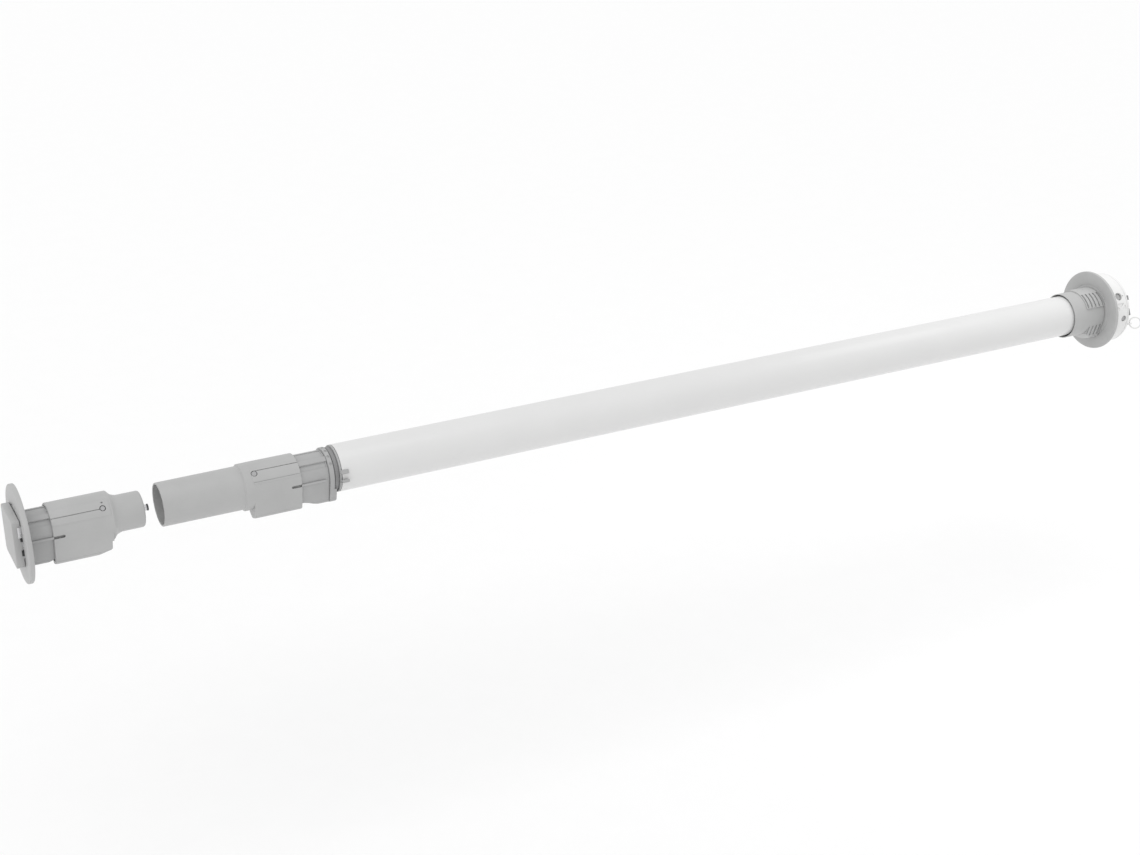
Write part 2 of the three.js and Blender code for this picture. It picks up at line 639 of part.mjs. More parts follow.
function motorInsides() {
  const windingLength = 8;
  const windingStart = X.stator - windingLength;
  const windingEnd = X.statorEnd + windingLength;
  const slots = Array.from({ length: 6 }, (_, i) => prism([
    ...arc(18.5, 60 * i - 18, 60 * i + 18, 4),
    ...arc(14.5, 60 * i + 14, 60 * i - 14, 4),
  ], X.stator - 2, windingEnd));
  const stator = cut(
    ring(X.stator, X.statorEnd, PLUG_R),
    ring(X.stator - 2, windingEnd, ROTOR_R + 0.5, 0, 24),
    ...slots,
  );
  add('stator', stator, DARK_STEEL, 0.5, 0.7);
  add('winding_left', ring(windingStart, X.stator - GAP, 18.8, 14.2, 24), COPPER, 0.4, 0.8);
  add('winding_right', ring(X.statorEnd + GAP, windingEnd, 18.8, 14.2, 24), COPPER, 0.4, 0.8);
  add('rotor_core', ring(X.stator + 2, X.statorEnd - 2, ROTOR_R, ROTOR_SHAFT_R + GAP, 24), STEEL, 0.45, 0.8);
  const bearing = ring(X.rotorBearing, X.rotorBearing + 6, PLUG_R, ROTOR_SHAFT_R + 0.4, 24);
  add('rotor_bearing', bearing, STEEL, 0.35, 0.8);

  add('brake_disc', ring(X.brake + 9, X.brake + 13, 15, ROTOR_SHAFT_R + GAP, 24), DARK_STEEL, 0.6, 0.5);
  add('brake_housing', cut(
    ring(X.brake, X.brakeEnd, PLUG_R),
    ring(X.brake + 2, X.brakeEnd - 10, 17),
    ring(X.brake - 2, X.brake + 3, ROTOR_SHAFT_R + 1, 0, SMALL),
  ), DARK_GREY, 0.6);

  add('capacitor', ring(X.capacitor, X.capacitorEnd, 15, 0, 24), DARK_GREY, 0.4);
  const board = block([X.board, -17.5, -BOARD_HALF], [X.boardEnd, 17.5, BOARD_HALF]);
  add('circuit_board', board, BOARD_GREEN, 0.6);
  add('relay', block([X.board + 30, -9, BOARD_HALF + GAP], [X.board + 58, 9, 15]), BLACK, 0.5);
  add('motor_lead', ring(X.capacitorEnd + 1, X.board - 2, 2.4, 0, 8), BLACK, 0.6);
}

function headParts() {
  const places = COVER_SCREW_ANGLES.map((angle) => orbit(COVER_SCREW_ORBIT, angle));
  const atPlaces = (body) => places.map(([y, z]) => move(body, 0, y, z));
  const wallEnd = X.coverStart - GAP;
  const screwHoles = atPlaces(ring(X.coverStart - 9, 2, 2, 0, 12));
  const cup = cut(
    unite(
      cut(ring(X.headStart, wallEnd, HEAD_R), ring(X.headFloor, X.coverStart, HEAD_WALL_R)),
      ring(X.crownRim + GAP, X.headStart + 1, PLUG_R),
      ring(X.tubeEnd + GAP, X.headStart + 1, TUBE_R - 0.2),
      ...atPlaces(ring(X.headFloor - 0.5, wallEnd, 4.4, 0, SMALL)),
    ),
    ...screwHoles,
    radialPin(BUTTON.x, BUTTON.angle, 30, 42, BUTTON.radius + 0.4),
    radialPin(LIMIT.x, LIMIT.angle, 30, 42, LIMIT.radius + 0.4),
    ring(X.crownRim - 2, X.headFloor + 1, NECK_BORE_R, 0, SMALL),
  );
  add('motor_head', cup, WHITE, 0.4);

  const notches = [UPPER_LATCH, LOWER_LATCH].map(([low, high]) => block(
    [LATCH_START, -HEAD_R - 1, low], [1, -LATCH_DEPTH, high],
  ));
  const cover = cut(
    unite(ring(X.coverStart, X.coverRim, HEAD_R), ring(X.coverStart, 0, PAD_R)),
    ...notches,
    ...screwHoles,
    ...atPlaces(ring(X.coverStart + 1.1, 1, 3.7, 0, 12)),
    block([X.coverStart - 1, -8, -20], [1, 8, -10]),
  );
  add('head_cover', cover, WHITE, 0.4);

  const latch = ([low, high]) => {
    const reach = Math.sqrt(HEAD_R ** 2 - Math.max(low ** 2, high ** 2)) - 0.6;
    return block([LATCH_START + GAP, -reach, low + GAP], [LATCH_END, -LATCH_DEPTH - GAP, high - GAP]);
  };
  add('bracket_latch_upper', latch(UPPER_LATCH), DARK_GREY, 0.5);
  add('bracket_latch_lower', latch(LOWER_LATCH), DARK_GREY, 0.5);

  const coverScrew = unite(
    ring(X.coverStart - 7.5, X.coverStart + 1.8, 1.7, 0, 12),
    ring(X.coverStart + 1.4, X.coverStart + 2.8, 3.4, 0, 12),
  );
  atPlaces(coverScrew).forEach((screw, i) => add(`cover_screw_${i + 1}`, screw, STEEL, 0.3, 0.9));

  const inlet = cut(
    block([-14.4, -8 + GAP, -20 + GAP], [-0.4, 8 - GAP, -10 - GAP]),
    block([-10, -6.3, -18.4], [1, 6.3, -11.6]),
  );
  add('power_inlet', inlet, BLACK, 0.5);

  add('setting_button', unite(
    radialPin(BUTTON.x, BUTTON.angle, 27, 33.5, BUTTON.radius + 0.3),
    radialPin(BUTTON.x, BUTTON.angle, 33, 37.2, BUTTON.radius),
  ), HUB_GREY, 0.5);
  const screwHead = cut(
    unite(
      radialPin(LIMIT.x, LIMIT.angle, 33, 38, LIMIT.radius),
      radialPin(LIMIT.x, LIMIT.angle, 28.5, 33.5, 2),
    ),
    crossSlot(LIMIT.x, LIMIT.angle, 37, 4.4),
  );
  add('limit_screw', screwHead, DARK_STEEL, 0.3, 0.9);
  add('limit_switch', block([-14.4, -22, -17], [-4.4, -10, 10]), DARK_GREY, 0.5);

  releaseRingParts();
}

// A cross recess in a radial screw's head.
function crossSlot(x, degrees, r0, span) {
  const arm = (length, width) => {
    const box = new THREE.BoxGeometry(length, 4, width).translate(0, r0 + 2, 0);
    return solid(box.rotateX(rad(degrees)).translate(x, 0, 0));
  };
  return arm(span, 1.1).add(arm(1.1, span));
}

// Spring-wire release ring that hangs through an eye on the head's rim.
function releaseRingParts() {
  const hole = new THREE.CylinderGeometry(EYE.hole, EYE.hole, 8, SMALL).rotateX(Math.PI / 2);
  const plate = block(
    [X.coverRim + GAP, EYE.y - EYE.reach, EYE.z - 0.8], [EYE.x + EYE.reach, EYE.y + 3.6, EYE.z + 0.8],
  );
  add('ring_eye', cut(plate, solid(hole.translate(EYE.x, EYE.y, EYE.z))), WHITE, 0.35);

  const torus = new THREE.TorusGeometry(RELEASE_R, WIRE_R, 6, 22).rotateX(Math.PI / 2);
  torus.translate(RELEASE_R, 0, 0).rotateZ(rad(-RING_TILT)).translate(EYE.x, EYE.y, EYE.z);
  add('release_ring', solid(torus), WHITE, 0.35, 0.5);
}

// ---------------------------------------------------------------- crown

function crownParts() {
  const keelSide = (inset) => bothSides([
    ...CROWN_KEEL_TIP.map(([y, z]) => [y - 0.6 * inset, z + inset]),
    ...arc(CROWN_R - 0.6 * inset, -42, -20, 3),
  ]);
  // The ribbed shoulder: a thicker band over the top, with grooves on both sides.
  const shoulderOutline = [
    ...arc(SHOULDER_R, SHOULDER_START, 180 - SHOULDER_START, 20),
    ...arc(CROWN_R - 0.5, 180 - SHOULDER_START, SHOULDER_START, 20),
  ];
  const grooves = Array.from({ length: GROOVES }, (_, i) => {
    const x0 = X.grooveStart + GROOVE_PITCH * i;
    const band = ring(x0, x0 + GROOVE_WIDTH, SHOULDER_R + 1, CROWN_R - 0.4);
    return band.intersect(block([x0 - 1, -30, GROOVE_LOW], [x0 + 4, -10, GROOVE_HIGH]));
  });
  // The keel rises in a ramp from the collar's surface to its full depth.
  const rampEnd = X.crownKeel + 9;
  const belowRamp = across([
    [X.crownKeel - 1, -CROWN_R], [X.crownKeel, -CROWN_R],
    [rampEnd, -31.2], [rampEnd, -34], [X.crownKeel - 1, -34],
  ], 12);
  const collar = cut(
    unite(
      ring(X.crownRim, X.crownDisc - GAP, CROWN_R),
      cut(prism(keelSide(0), X.crownKeel, X.crownDisc - GAP), belowRamp),
      prism(shoulderOutline, X.shoulder, X.crownDisc - GAP),
    ),
    prism(keelSide(1.4), rampEnd, X.crownDisc - 2),
    ring(X.crownRim - 1, X.crownDisc + 1, CROWN_BORE_R),
    ...grooves,
    ...grooves.map(flipped),
  );
  add('crown_collar', collar, LIGHT_GREY);

  add('crown_disc', endDisc(X.crownDiscEnd, X.crownDisc, CROWN_BORE_R), LIGHT_GREY);
  add('crown_bush', ring(X.crownRim + 12, X.crownDisc - 8, CROWN_BORE_R - GAP, TUBE_R + GAP), WHITE, 0.5);
}

idlerPlateParts();
idlerHubParts();
idlerBodyParts();
driveSleeveParts();
driveHubParts();
motorTubeParts();
gearboxParts();
motorInsides();
headParts();
crownParts();

export default drive;
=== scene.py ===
"""Looks for the tubular blind drive: detailed meshes, materials, light and camera around the CAD frame.

Every builder below works in millimetres in the drive's own axes: x along the roller, u sideways
(the front is negative) and v up, away from the keel. put() rolls a finished mesh by the keel's
angle and turns it into metres, so that it lies where the CAD part does.
"""

import json
import math

import bmesh
import bpy
from mathutils import Matrix, Vector


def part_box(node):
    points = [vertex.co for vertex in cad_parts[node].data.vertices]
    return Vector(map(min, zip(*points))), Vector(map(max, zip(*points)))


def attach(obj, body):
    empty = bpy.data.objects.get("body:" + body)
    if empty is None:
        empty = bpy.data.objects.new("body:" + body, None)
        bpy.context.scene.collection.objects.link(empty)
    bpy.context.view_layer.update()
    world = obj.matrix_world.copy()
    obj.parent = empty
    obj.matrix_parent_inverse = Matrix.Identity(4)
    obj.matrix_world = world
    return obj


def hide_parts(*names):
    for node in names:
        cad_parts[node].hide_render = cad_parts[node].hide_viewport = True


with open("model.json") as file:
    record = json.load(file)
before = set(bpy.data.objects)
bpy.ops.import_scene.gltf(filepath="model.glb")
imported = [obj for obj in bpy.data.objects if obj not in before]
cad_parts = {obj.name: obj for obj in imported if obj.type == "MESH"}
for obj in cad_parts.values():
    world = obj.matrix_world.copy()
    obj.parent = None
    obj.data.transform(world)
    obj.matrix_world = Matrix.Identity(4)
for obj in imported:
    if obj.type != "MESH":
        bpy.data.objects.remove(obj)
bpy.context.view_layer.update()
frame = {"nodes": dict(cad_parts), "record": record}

MM = 0.001
QUARTER = math.radians(90)
KEEL_ROLL = math.radians(-24)


def span(node):
    """First and last x of a CAD node, in millimetres."""
    low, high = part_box(node)
    return low.x / MM, high.x / MM


def radius_of(node):
    """Half of the smaller side of a CAD node's box across the axis, in millimetres."""
    low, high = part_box(node)
    return min(high.z - low.z, high.y - low.y) / 2 / MM


def middle_of(node, rolled=True):
    """Middle of a CAD node in millimetres, in the drive's own axes unless the piece isn't rolled."""
    low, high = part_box(node)
    middle = (low + high) / 2 / MM
    return Matrix.Rotation(-KEEL_ROLL, 4, "X") @ middle if rolled else middle


# Camera: where it looks, how far away it stands (both in metres) and its lens.
CAMERA_YAW = math.radians(27.5)
CAMERA_PITCH = math.radians(24.0)
CAMERA_DISTANCE = 1.784
CAMERA_LENS = 56.8
AIM_X = -0.6985
AIM_BELOW_AXIS = 0.0088

# Light: strengths, the direction and spread of the key, the lamp over the head, and the floor.
WORLD_STRENGTH = 0.85
SUN_STRENGTH = 0.72
SUN_FROM = (-0.34, -0.16, 0.93)
LAMP_POWER = 0.34
LAMP_PLACE = (-0.02, -0.02, 0.40)
LAMP_SIZE = 0.3
KEY_ANGLE = math.radians(60)
FLOOR_HEIGHT = -0.32
FLOOR_HALF = 9.0
FLOOR_COLOR = (0.93, 0.93, 0.93)

# From here on lengths are in millimetres and angles in degrees. u is sideways and v is up.

# Round sizes that come from the CAD.
DISC_R = radius_of("crown_disc")
TUBE_R = radius_of("motor_tube")
HEAD_R = radius_of("head_cover")

# How many segments a turned piece has.
COARSE = 64
MEDIUM = 144
FINE = 192

# The keel: (u, v) corners of its tip on the right side, and the angle at which its straight flank
# meets the round side. A drop lowers one body's tip.
KEEL_TIP = [(3.6, -31.0), (5.2, -30.75), (6.3, -30.1), (6.85, -29.3), (6.95, -28.8), (7.5, -28.5)]
KEEL_TOUCH = -35.0

# The two bodies, and the raised strip along each side of them.
IDLER_R = 22.35
IDLER_DROP = 1.4
DRIVE_R = 22.05
DRIVE_DROP = -0.7
STRIP = 0.6
STRIP_SPAN = (5.0, 40.0)
STRIP_RAMP = 1.4

# The two hubs: round part, wide rib, channels beside it, keel, and the gap to the body around it.
HUB_R = 19.8
HUB_RIB_R = 21.2
RIB_SPAN = (25.0, 38.0)
RIB_RAMP = 0.8
CHANNEL_SPANS = ((9.0, 23.9), (39.2, 75.0))
CHANNEL_DEPTH = 0.7
HUB_KEEL = -29.44
HUB_INSET = 2.6
HUB_GAP = 0.3
SHAFT_BORE = 7.4

# The hubs' narrow ribs, and the short slots that they slide in by the telescope's travel. The tools
# for the slots reach from SLOT_INNER to SLOT_OUTER off the axis.
RIB_REACH = 19.7
RIB_HALF = 0.9
SLOT_V = -9.0
SLOT_HALF = 1.2
SLOT_INNER = 8
SLOT_OUTER = 24
TELESCOPE = 9.0

# Radial screws in the bodies' fronts. floor_r is where the cross starts, cross its reach and width.
IDLER_SCREW = dict(angle=159.6, head_r=2.35, top_r=22.75, well_r=2.75, floor_r=22.0, cross=(3.6, 0.75))
SLEEVE_SCREW = dict(angle=151.5, head_r=2.6, top_r=22.5, well_r=2.95, floor_r=21.9, cross=(4.0, 0.8))

# Places of the notches in the drive flange's edge.
NOTCH_ANGLES = (14, 34, 54, 74, 106, 126, 146, 166)

# The crown: the collar's nominal radius, its bore, the raised shoulder and the pitch of its slots.
CROWN_R = 25.2
CROWN_BORE = CROWN_R - 1.0
SHOULDER_R = 26.6
SHOULDER_START = 5.0
GROOVE_PITCH = 5.3

# The head: angles of the setting button and the limit screw, and the v range of each latch.
BUTTON_ANGLE = 165.8
LIMIT_ANGLE = 204.7
LATCHES = {"bracket_latch_upper": (3.2, 9.2), "bracket_latch_lower": (-14.2, -5.6)}
COVER_SCREWS = ("cover_screw_1", "cover_screw_2", "cover_screw_3")

# The wire ring's eye: its middle, how far that is from the eye's end, and the hoop's tilt.
EYE_U = -30.3
EYE_V = -23.6
EYE_INSET = 2.4
RING_TILT = 41.0


# ---------------------------------------------------------------- camera, floor and light

def make_camera():
    look = Vector((
        math.sin(CAMERA_YAW) * math.cos(CAMERA_PITCH),
        math.cos(CAMERA_YAW) * math.cos(CAMERA_PITCH),
        -math.sin(CAMERA_PITCH),
    ))
    turn = look.to_track_quat("-Z", "Y")
    up = turn @ Vector((0, 1, 0))
    aim = Vector((AIM_X, 0, 0)) - up * AIM_BELOW_AXIS
    data = bpy.data.cameras.new("camera")
    data.lens = CAMERA_LENS
    data.sensor_width = 36
    data.clip_start = 0.05
    camera = bpy.data.objects.new("camera", data)
    camera.location = aim - look * CAMERA_DISTANCE
    camera.rotation_euler = turn.to_euler()
    bpy.context.scene.collection.objects.link(camera)
    bpy.context.scene.camera = camera


def make_studio():
    """White surroundings, a broad soft light from above, a weak lamp over the head and a pale floor."""
    world = bpy.data.worlds.new("studio")
    world.use_nodes = True
    background = world.node_tree.nodes["Background"]
    background.inputs["Color"].default_value = (1, 1, 1, 1)
    background.inputs["Strength"].default_value = WORLD_STRENGTH
    bpy.context.scene.world = world
    bpy.context.scene.view_settings.view_transform = "Standard"

    data = bpy.data.lights.new("key", "SUN")
    data.energy = SUN_STRENGTH
    data.angle = KEY_ANGLE
    key = bpy.data.objects.new("key", data)
    key.rotation_euler = Vector(SUN_FROM).to_track_quat("Z", "Y").to_euler()
    key.location = Vector((AIM_X, 0, 0)) + Vector(SUN_FROM) * 2
    bpy.context.scene.collection.objects.link(key)

    data = bpy.data.lights.new("lamp", "AREA")
    data.energy = LAMP_POWER
    data.size = LAMP_SIZE
    lamp = bpy.data.objects.new("lamp", data)
    lamp.location = LAMP_PLACE
    bpy.context.scene.collection.objects.link(lamp)

    mesh = bpy.data.meshes.new("floor")
    build = bmesh.new()
    bmesh.ops.create_grid(build, x_segments=8, y_segments=8, size=FLOOR_HALF)
    build.to_mesh(mesh)
    build.free()
    floor = bpy.data.objects.new("floor", mesh)
    floor.location = (AIM_X, 0, FLOOR_HEIGHT)
    bpy.context.scene.collection.objects.link(floor)
    mesh.materials.append(floor_material())


# ---------------------------------------------------------------- materials

def new_material(name):
    material = bpy.data.materials.new(name)
    material.use_nodes = True
    nodes, links = material.node_tree.nodes, material.node_tree.links
    return material, nodes, links, nodes["Principled BSDF"]


def noise(nodes, links, place, scale, detail=4.0, rough=0.55):
    node = nodes.new("ShaderNodeTexNoise")
    node.inputs["Scale"].default_value = scale
    node.inputs["Detail"].default_value = detail
    node.inputs["Roughness"].default_value = rough
    links.new(place, node.inputs["Vector"])
    return node.outputs["Fac"]


def remap(nodes, links, value, low, high):
    """Stretches the middle of a noise's range over low to high."""
    node = nodes.new("ShaderNodeMapRange")
    node.inputs["From Min"].default_value = 0.3
    node.inputs["From Max"].default_value = 0.7
    node.inputs["To Min"].default_value = low
    node.inputs["To Max"].default_value = high
    links.new(value, node.inputs["Value"])
    return node.outputs["Result"]


def surface(name, color, spread=0.05, roughness=(0.4, 0.55), grain=900.0, bump=0.12, depth=0.00008,
            metallic=0.0, coat=0.0, streak=None, specular=0.5):
    """A procedural surface: mottled colour, uneven roughness and a fine grain.

    streak is the grain's scale on each axis, which draws it out into fine lines.
    """
    material, nodes, links, shader = new_material(name)
    coords = nodes.new("ShaderNodeTexCoord").outputs["Object"]
    place = coords
    if streak:
        mapping = nodes.new("ShaderNodeMapping")
        mapping.inputs["Scale"].default_value = streak
        links.new(coords, mapping.inputs["Vector"])
        place = mapping.outputs["Vector"]
    cloud = noise(nodes, links, coords, 28.0, 3.0)
    speck = noise(nodes, links, place, grain * 0.55, 2.0)
    tint = nodes.new("ShaderNodeMix")
    tint.data_type = "RGBA"
    low = [max(0.0, c * (1 - spread)) for c in color]
    high = [min(1.0, c * (1 + spread)) for c in color]
    tint.inputs["A"].default_value = (*low, 1)
    tint.inputs["B"].default_value = (*high, 1)
    both = nodes.new("ShaderNodeMath")
    both.operation = "MULTIPLY_ADD"
    links.new(speck, both.inputs[0])
    both.inputs[1].default_value = 0.45
    links.new(remap(nodes, links, cloud, 0.0, 0.75), both.inputs[2])
    links.new(both.outputs[0], tint.inputs["Factor"])
    links.new(tint.outputs["Result"], shader.inputs["Base Color"])
    links.new(remap(nodes, links, cloud, *roughness), shader.inputs["Roughness"])
    fine = noise(nodes, links, place, grain, 5.0, 0.6)
    relief = nodes.new("ShaderNodeBump")
    relief.inputs["Strength"].default_value = bump
    relief.inputs["Distance"].default_value = depth
    links.new(fine, relief.inputs["Height"])
    links.new(relief.outputs["Normal"], shader.inputs["Normal"])
    shader.inputs["Metallic"].default_value = metallic
    shader.inputs["Coat Weight"].default_value = coat
    shader.inputs["Specular IOR Level"].default_value = specular
    return material


def floor_material():
    return surface("floor_paper", FLOOR_COLOR, spread=0.004, roughness=(0.9, 0.95), grain=200.0, bump=0.02,
                   specular=0.1)


def record_color(slot):
    entry = next(m for m in frame["record"]["materials"] if m["slot"] == slot)
    return entry["base_color"][:3]


FINISHES = {
    "grey_plastic": dict(spread=0.05, roughness=(0.42, 0.56), grain=1300.0, bump=0.16),
    "hub_plastic": dict(spread=0.07, roughness=(0.45, 0.62), grain=1100.0, bump=0.2),
    "white_tube": dict(spread=0.012, roughness=(0.30, 0.40), grain=700.0, bump=0.06, coat=0.15),
    "white_plastic": dict(spread=0.015, roughness=(0.35, 0.48), grain=1200.0, bump=0.10),
    "black_plastic": dict(spread=0.2, roughness=(0.4, 0.6), grain=1300.0, bump=0.2),
    "dark_plastic": dict(spread=0.15, roughness=(0.5, 0.7), grain=900.0, bump=0.2),
    "rubber": dict(spread=0.2, roughness=(0.7, 0.85), grain=1500.0, bump=0.3),
    "steel": dict(spread=0.08, roughness=(0.22, 0.4), grain=1500.0, bump=0.12, metallic=1.0,
                  streak=(1.0, 8.0, 8.0)),
    "screw_steel": dict(spread=0.1, roughness=(0.4, 0.55), grain=1500.0, bump=0.15, metallic=1.0,
                        streak=(1.0, 4.0, 4.0)),
    "dark_steel": dict(spread=0.15, roughness=(0.3, 0.5), grain=1500.0, bump=0.15, metallic=1.0,
                       streak=(1.0, 6.0, 6.0)),
    "white_wire": dict(spread=0.03, roughness=(0.3, 0.42), grain=1600.0, bump=0.08, coat=0.2),
    "copper": dict(spread=0.2, roughness=(0.25, 0.45), grain=1600.0, bump=0.35, metallic=1.0,
                   streak=(6.0, 1.0, 1.0)),
    "brass": dict(spread=0.08, roughness=(0.25, 0.4), grain=1500.0, bump=0.12, metallic=1.0),
    "circuit": dict(spread=0.3, roughness=(0.3, 0.5), grain=500.0, bump=0.2),
}


def make_materials():
    return {slot: surface(slot, record_color(slot), **look) for slot, look in FINISHES.items()}


# ---------------------------------------------------------------- outlines

def polar(radius, degrees):
    return radius * math.cos(math.radians(degrees)), radius * math.sin(math.radians(degrees))


def arc(radius, start, stop, step=3.0):
    count = max(1, round(abs(stop - start) / step))
    return [polar(radius, start + (stop - start) * i / count) for i in range(count + 1)]


def both_sides(right):
    """A whole outline from its right side, which runs from the bottom to the top."""
    left = [(-u, v) for u, v in reversed(right) if u > 1e-6]
    return list(right) + left


def soften(points, radii, steps=4):
    """Rounds the corners of a closed polygon; radii holds one fillet radius for each point."""
    result = []
    for i, radius in enumerate(radii):
        here = Vector(points[i])
        if radius <= 0:
            result.append(tuple(here))
            continue
        before = (Vector(points[i - 1]) - here).normalized()
        after = (Vector(points[(i + 1) % len(points)]) - here).normalized()
        half = before.angle(after) / 2
        reach = radius / math.tan(half)
        centre = here + (before + after).normalized() * radius / math.sin(half)
        first = here + before * reach - centre
        last = here + after * reach - centre
        sweep = math.atan2(first.cross(last), first.dot(last))
        for k in range(steps + 1):
            result.append(tuple(centre + Matrix.Rotation(sweep * k / steps, 2) @ first))
    return result


def inset(outline, distance):
    """An anticlockwise outline moved inwards."""
    moved = []
    for i, point in enumerate(outline):
        before = (Vector(point) - Vector(outline[i - 1])).normalized()
        after = (Vector(outline[(i + 1) % len(outline)]) - Vector(point)).normalized()
        normal = Vector((-(before + after).y, (before + after).x)).normalized()
        stretch = 1 / max(0.5, normal.dot(Vector((-after.y, after.x))))
        moved.append(tuple(Vector(point) + normal * distance * stretch))
    return moved


# ---------------------------------------------------------------- mesh builders

def object_from(name, build):
    bmesh.ops.recalc_face_normals(build, faces=build.faces)
    mesh = bpy.data.meshes.new(name)
    build.to_mesh(mesh)
    build.free()
    piece = bpy.data.objects.new(name, mesh)
    bpy.context.scene.collection.objects.link(piece)
    return piece


def skin(name, rings):
    """A solid through closed rings of (x, u, v) points, all of the same length."""
    build = bmesh.new()
    loops = [[build.verts.new(point) for point in ring] for ring in rings]
    for a, b in zip(loops, loops[1:]):
        for i in range(len(a)):
            j = (i + 1) % len(a)
            build.faces.new((a[i], a[j], b[j], b[i]))
    build.faces.new(loops[0])
    build.faces.new(loops[-1])
    return object_from(name, build)


def loft(name, stations):
    """A solid through outlines of equal length: stations are (x, outline)."""
    return skin(name, [[(x, u, v) for u, v in outline] for x, outline in stations])


def rounded_end(outline, x, edge, inwards, steps):
    """Stations that round one end's edge, from the end inwards. inwards is 1 or -1."""
    stations = []
    for k in range(steps + 1 if edge else 1):
        turn = math.radians(90 * k / steps)
        reach = edge * (1 - math.cos(turn))
        stations.append((x + inwards * reach, inset(outline, edge * (1 - math.sin(turn)))))
    return stations


def prism(name, outline, x0, x1, edge0=0.0, edge1=0.0, steps=3):
    """A solid of constant outline whose two end edges are rounded by the given radii."""
    first = rounded_end(outline, x0, edge0, 1, steps)
    last = rounded_end(outline, x1, edge1, -1, steps)
    return loft(name, first + last[::-1])


def turned(name, profile, segments=128):
    """A solid turned about the roller axis. The profile is a closed loop of (x, radius) points."""
    build = bmesh.new()
    rings = []
    for x, radius in profile:
        if radius < 1e-6:
            rings.append([build.verts.new((x, 0, 0))])
            continue
        rings.append([build.verts.new((x, *polar(radius, 360 * k / segments))) for k in range(segments)])
    for a, b in zip(rings, rings[1:] + rings[:1]):
        if len(a) == 1 and len(b) == 1:
            continue
        for k in range(segments):
            n = (k + 1) % segments
            if len(a) == 1:
                build.faces.new((a[0], b[n], b[k]))
            elif len(b) == 1:
                build.faces.new((a[k], a[n], b[0]))
            else:
                build.faces.new((a[k], a[n], b[n], b[k]))
    return object_from(name, build)


def rod(name, x0, x1, radius, segments=COARSE):
    return turned(name, [(x0, 0), (x0, radius), (x1, radius), (x1, 0)], segments)


def tube_profile(x0, x1, outer, inner, edge):
    """Profile of a ring with rounded edges."""
    corners = [(x0, inner), (x1, inner), (x1, outer), (x0, outer)]
    return soften(corners, [edge] * 4, 3)


def block(name, low, high, edge=0.0):
    """A block between two corners. With an edge its corners and its two ends are rounded."""
    x0, x1 = low[0], high[0]
    corners = [(low[1], low[2]), (high[1], low[2]), (high[1], high[2]), (low[1], high[2])]
    if not edge:
        return loft(name, [(x0, corners), (x1, corners)])
    return prism(name, soften(corners, [1.3 * edge] * 4, 3), x0, x1, edge, edge)


def pin(x, degrees, r0, r1, radius, segments=48, edge=0.0):
    """A round pin that points away from the roller axis at the given angle."""
    chamfer = [(r1 - edge, radius), (r1, radius - edge)] if edge else [(r1, radius)]
    piece = turned("pin", [(r0, 0), (r0, radius), *chamfer, (r1, 0)], segments)
    aim = Matrix.Rotation(math.radians(degrees), 4, "X") @ Matrix.Rotation(QUARTER, 4, "Z")
    piece.data.transform(Matrix.Translation((x, 0, 0)) @ aim)
    return piece


def shift(piece, x=0.0, u=0.0, v=0.0):
    piece.data.transform(Matrix.Translation((x, u, v)))
    return piece


def mirrored(piece):
    """A copy of a tool on the other side of the keel's plane."""
    twin = piece.copy()
    twin.data = piece.data.copy()
    twin.data.transform(Matrix.Scale(-1, 4, (0, 1, 0)))
    twin.data.flip_normals()
    bpy.context.scene.collection.objects.link(twin)
    return twin


def bake_modifiers(piece):
    graph = bpy.context.evaluated_depsgraph_get()
    mesh = bpy.data.meshes.new_from_object(piece.evaluated_get(graph))
    piece.modifiers.clear()
    piece.data = mesh
    return piece


def combine(piece, tools, operation):
    for tool in tools:
        step = piece.modifiers.new("combine", "BOOLEAN")
        step.operation = operation
        step.solver = "EXACT"
        step.object = tool
    bake_modifiers(piece)
    for tool in tools:
        bpy.data.objects.remove(tool)
    return piece


def cut(piece, *tools):
    return combine(piece, tools, "DIFFERENCE")


def unite(piece, *tools):
    return combine(piece, tools, "UNION")


def put(piece, name, body, node, slot, rolled=True, smooth=32):
    """Finishes a piece: real place and size, shading, material, body and the CAD node it stands for."""
    piece.name = name
    piece.data.name = name
    if rolled:
        piece.data.transform(Matrix.Rotation(KEEL_ROLL, 4, "X"))
    piece.data.transform(Matrix.Scale(MM, 4))
    build = bmesh.new()
    build.from_mesh(piece.data)
    bmesh.ops.remove_doubles(build, verts=build.verts, dist=2e-6)
    bmesh.ops.dissolve_degenerate(build, edges=build.edges, dist=2e-6)
    build.to_mesh(piece.data)
    build.free()
    piece.data.shade_smooth()
    piece.data.set_sharp_from_angle(angle=math.radians(smooth))
    piece.data.materials.clear()
    piece.data.materials.append(materials[slot])
    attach(piece, body)
    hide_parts(node)
    return piece


# ---------------------------------------------------------------- shared outlines of the keeled pieces

def keeled_side(inset_by, radius, drop=0.0):
    """Right side of a keeled outline: rounded tip, straight flank, then the round side up to 1 degree."""
    corners = [(u - inset_by, v + 0.6 * inset_by - drop) for u, v in KEEL_TIP]
    return corners + arc(radius, KEEL_TOUCH, 1)


def body_outline(radius, drop):
    low, high = STRIP_SPAN
    return both_sides([
        *keeled_side(0.0, radius, drop),
        *arc(radius + STRIP, low - STRIP_RAMP, high),
        *arc(radius, high + STRIP_RAMP, 90),
    ])


def hub_outline(clearance=0.0):
    low, high = RIB_SPAN[0] - 2.7 * clearance, RIB_SPAN[1] + 2.7 * clearance
    return both_sides([
        *keeled_side(HUB_INSET - clearance, HUB_R + clearance),
        *arc(HUB_R + clearance, 3, low - RIB_RAMP),
        *arc(HUB_RIB_R + clearance, low, high),
        *arc(HUB_R + clearance, high + RIB_RAMP, 90),
    ])


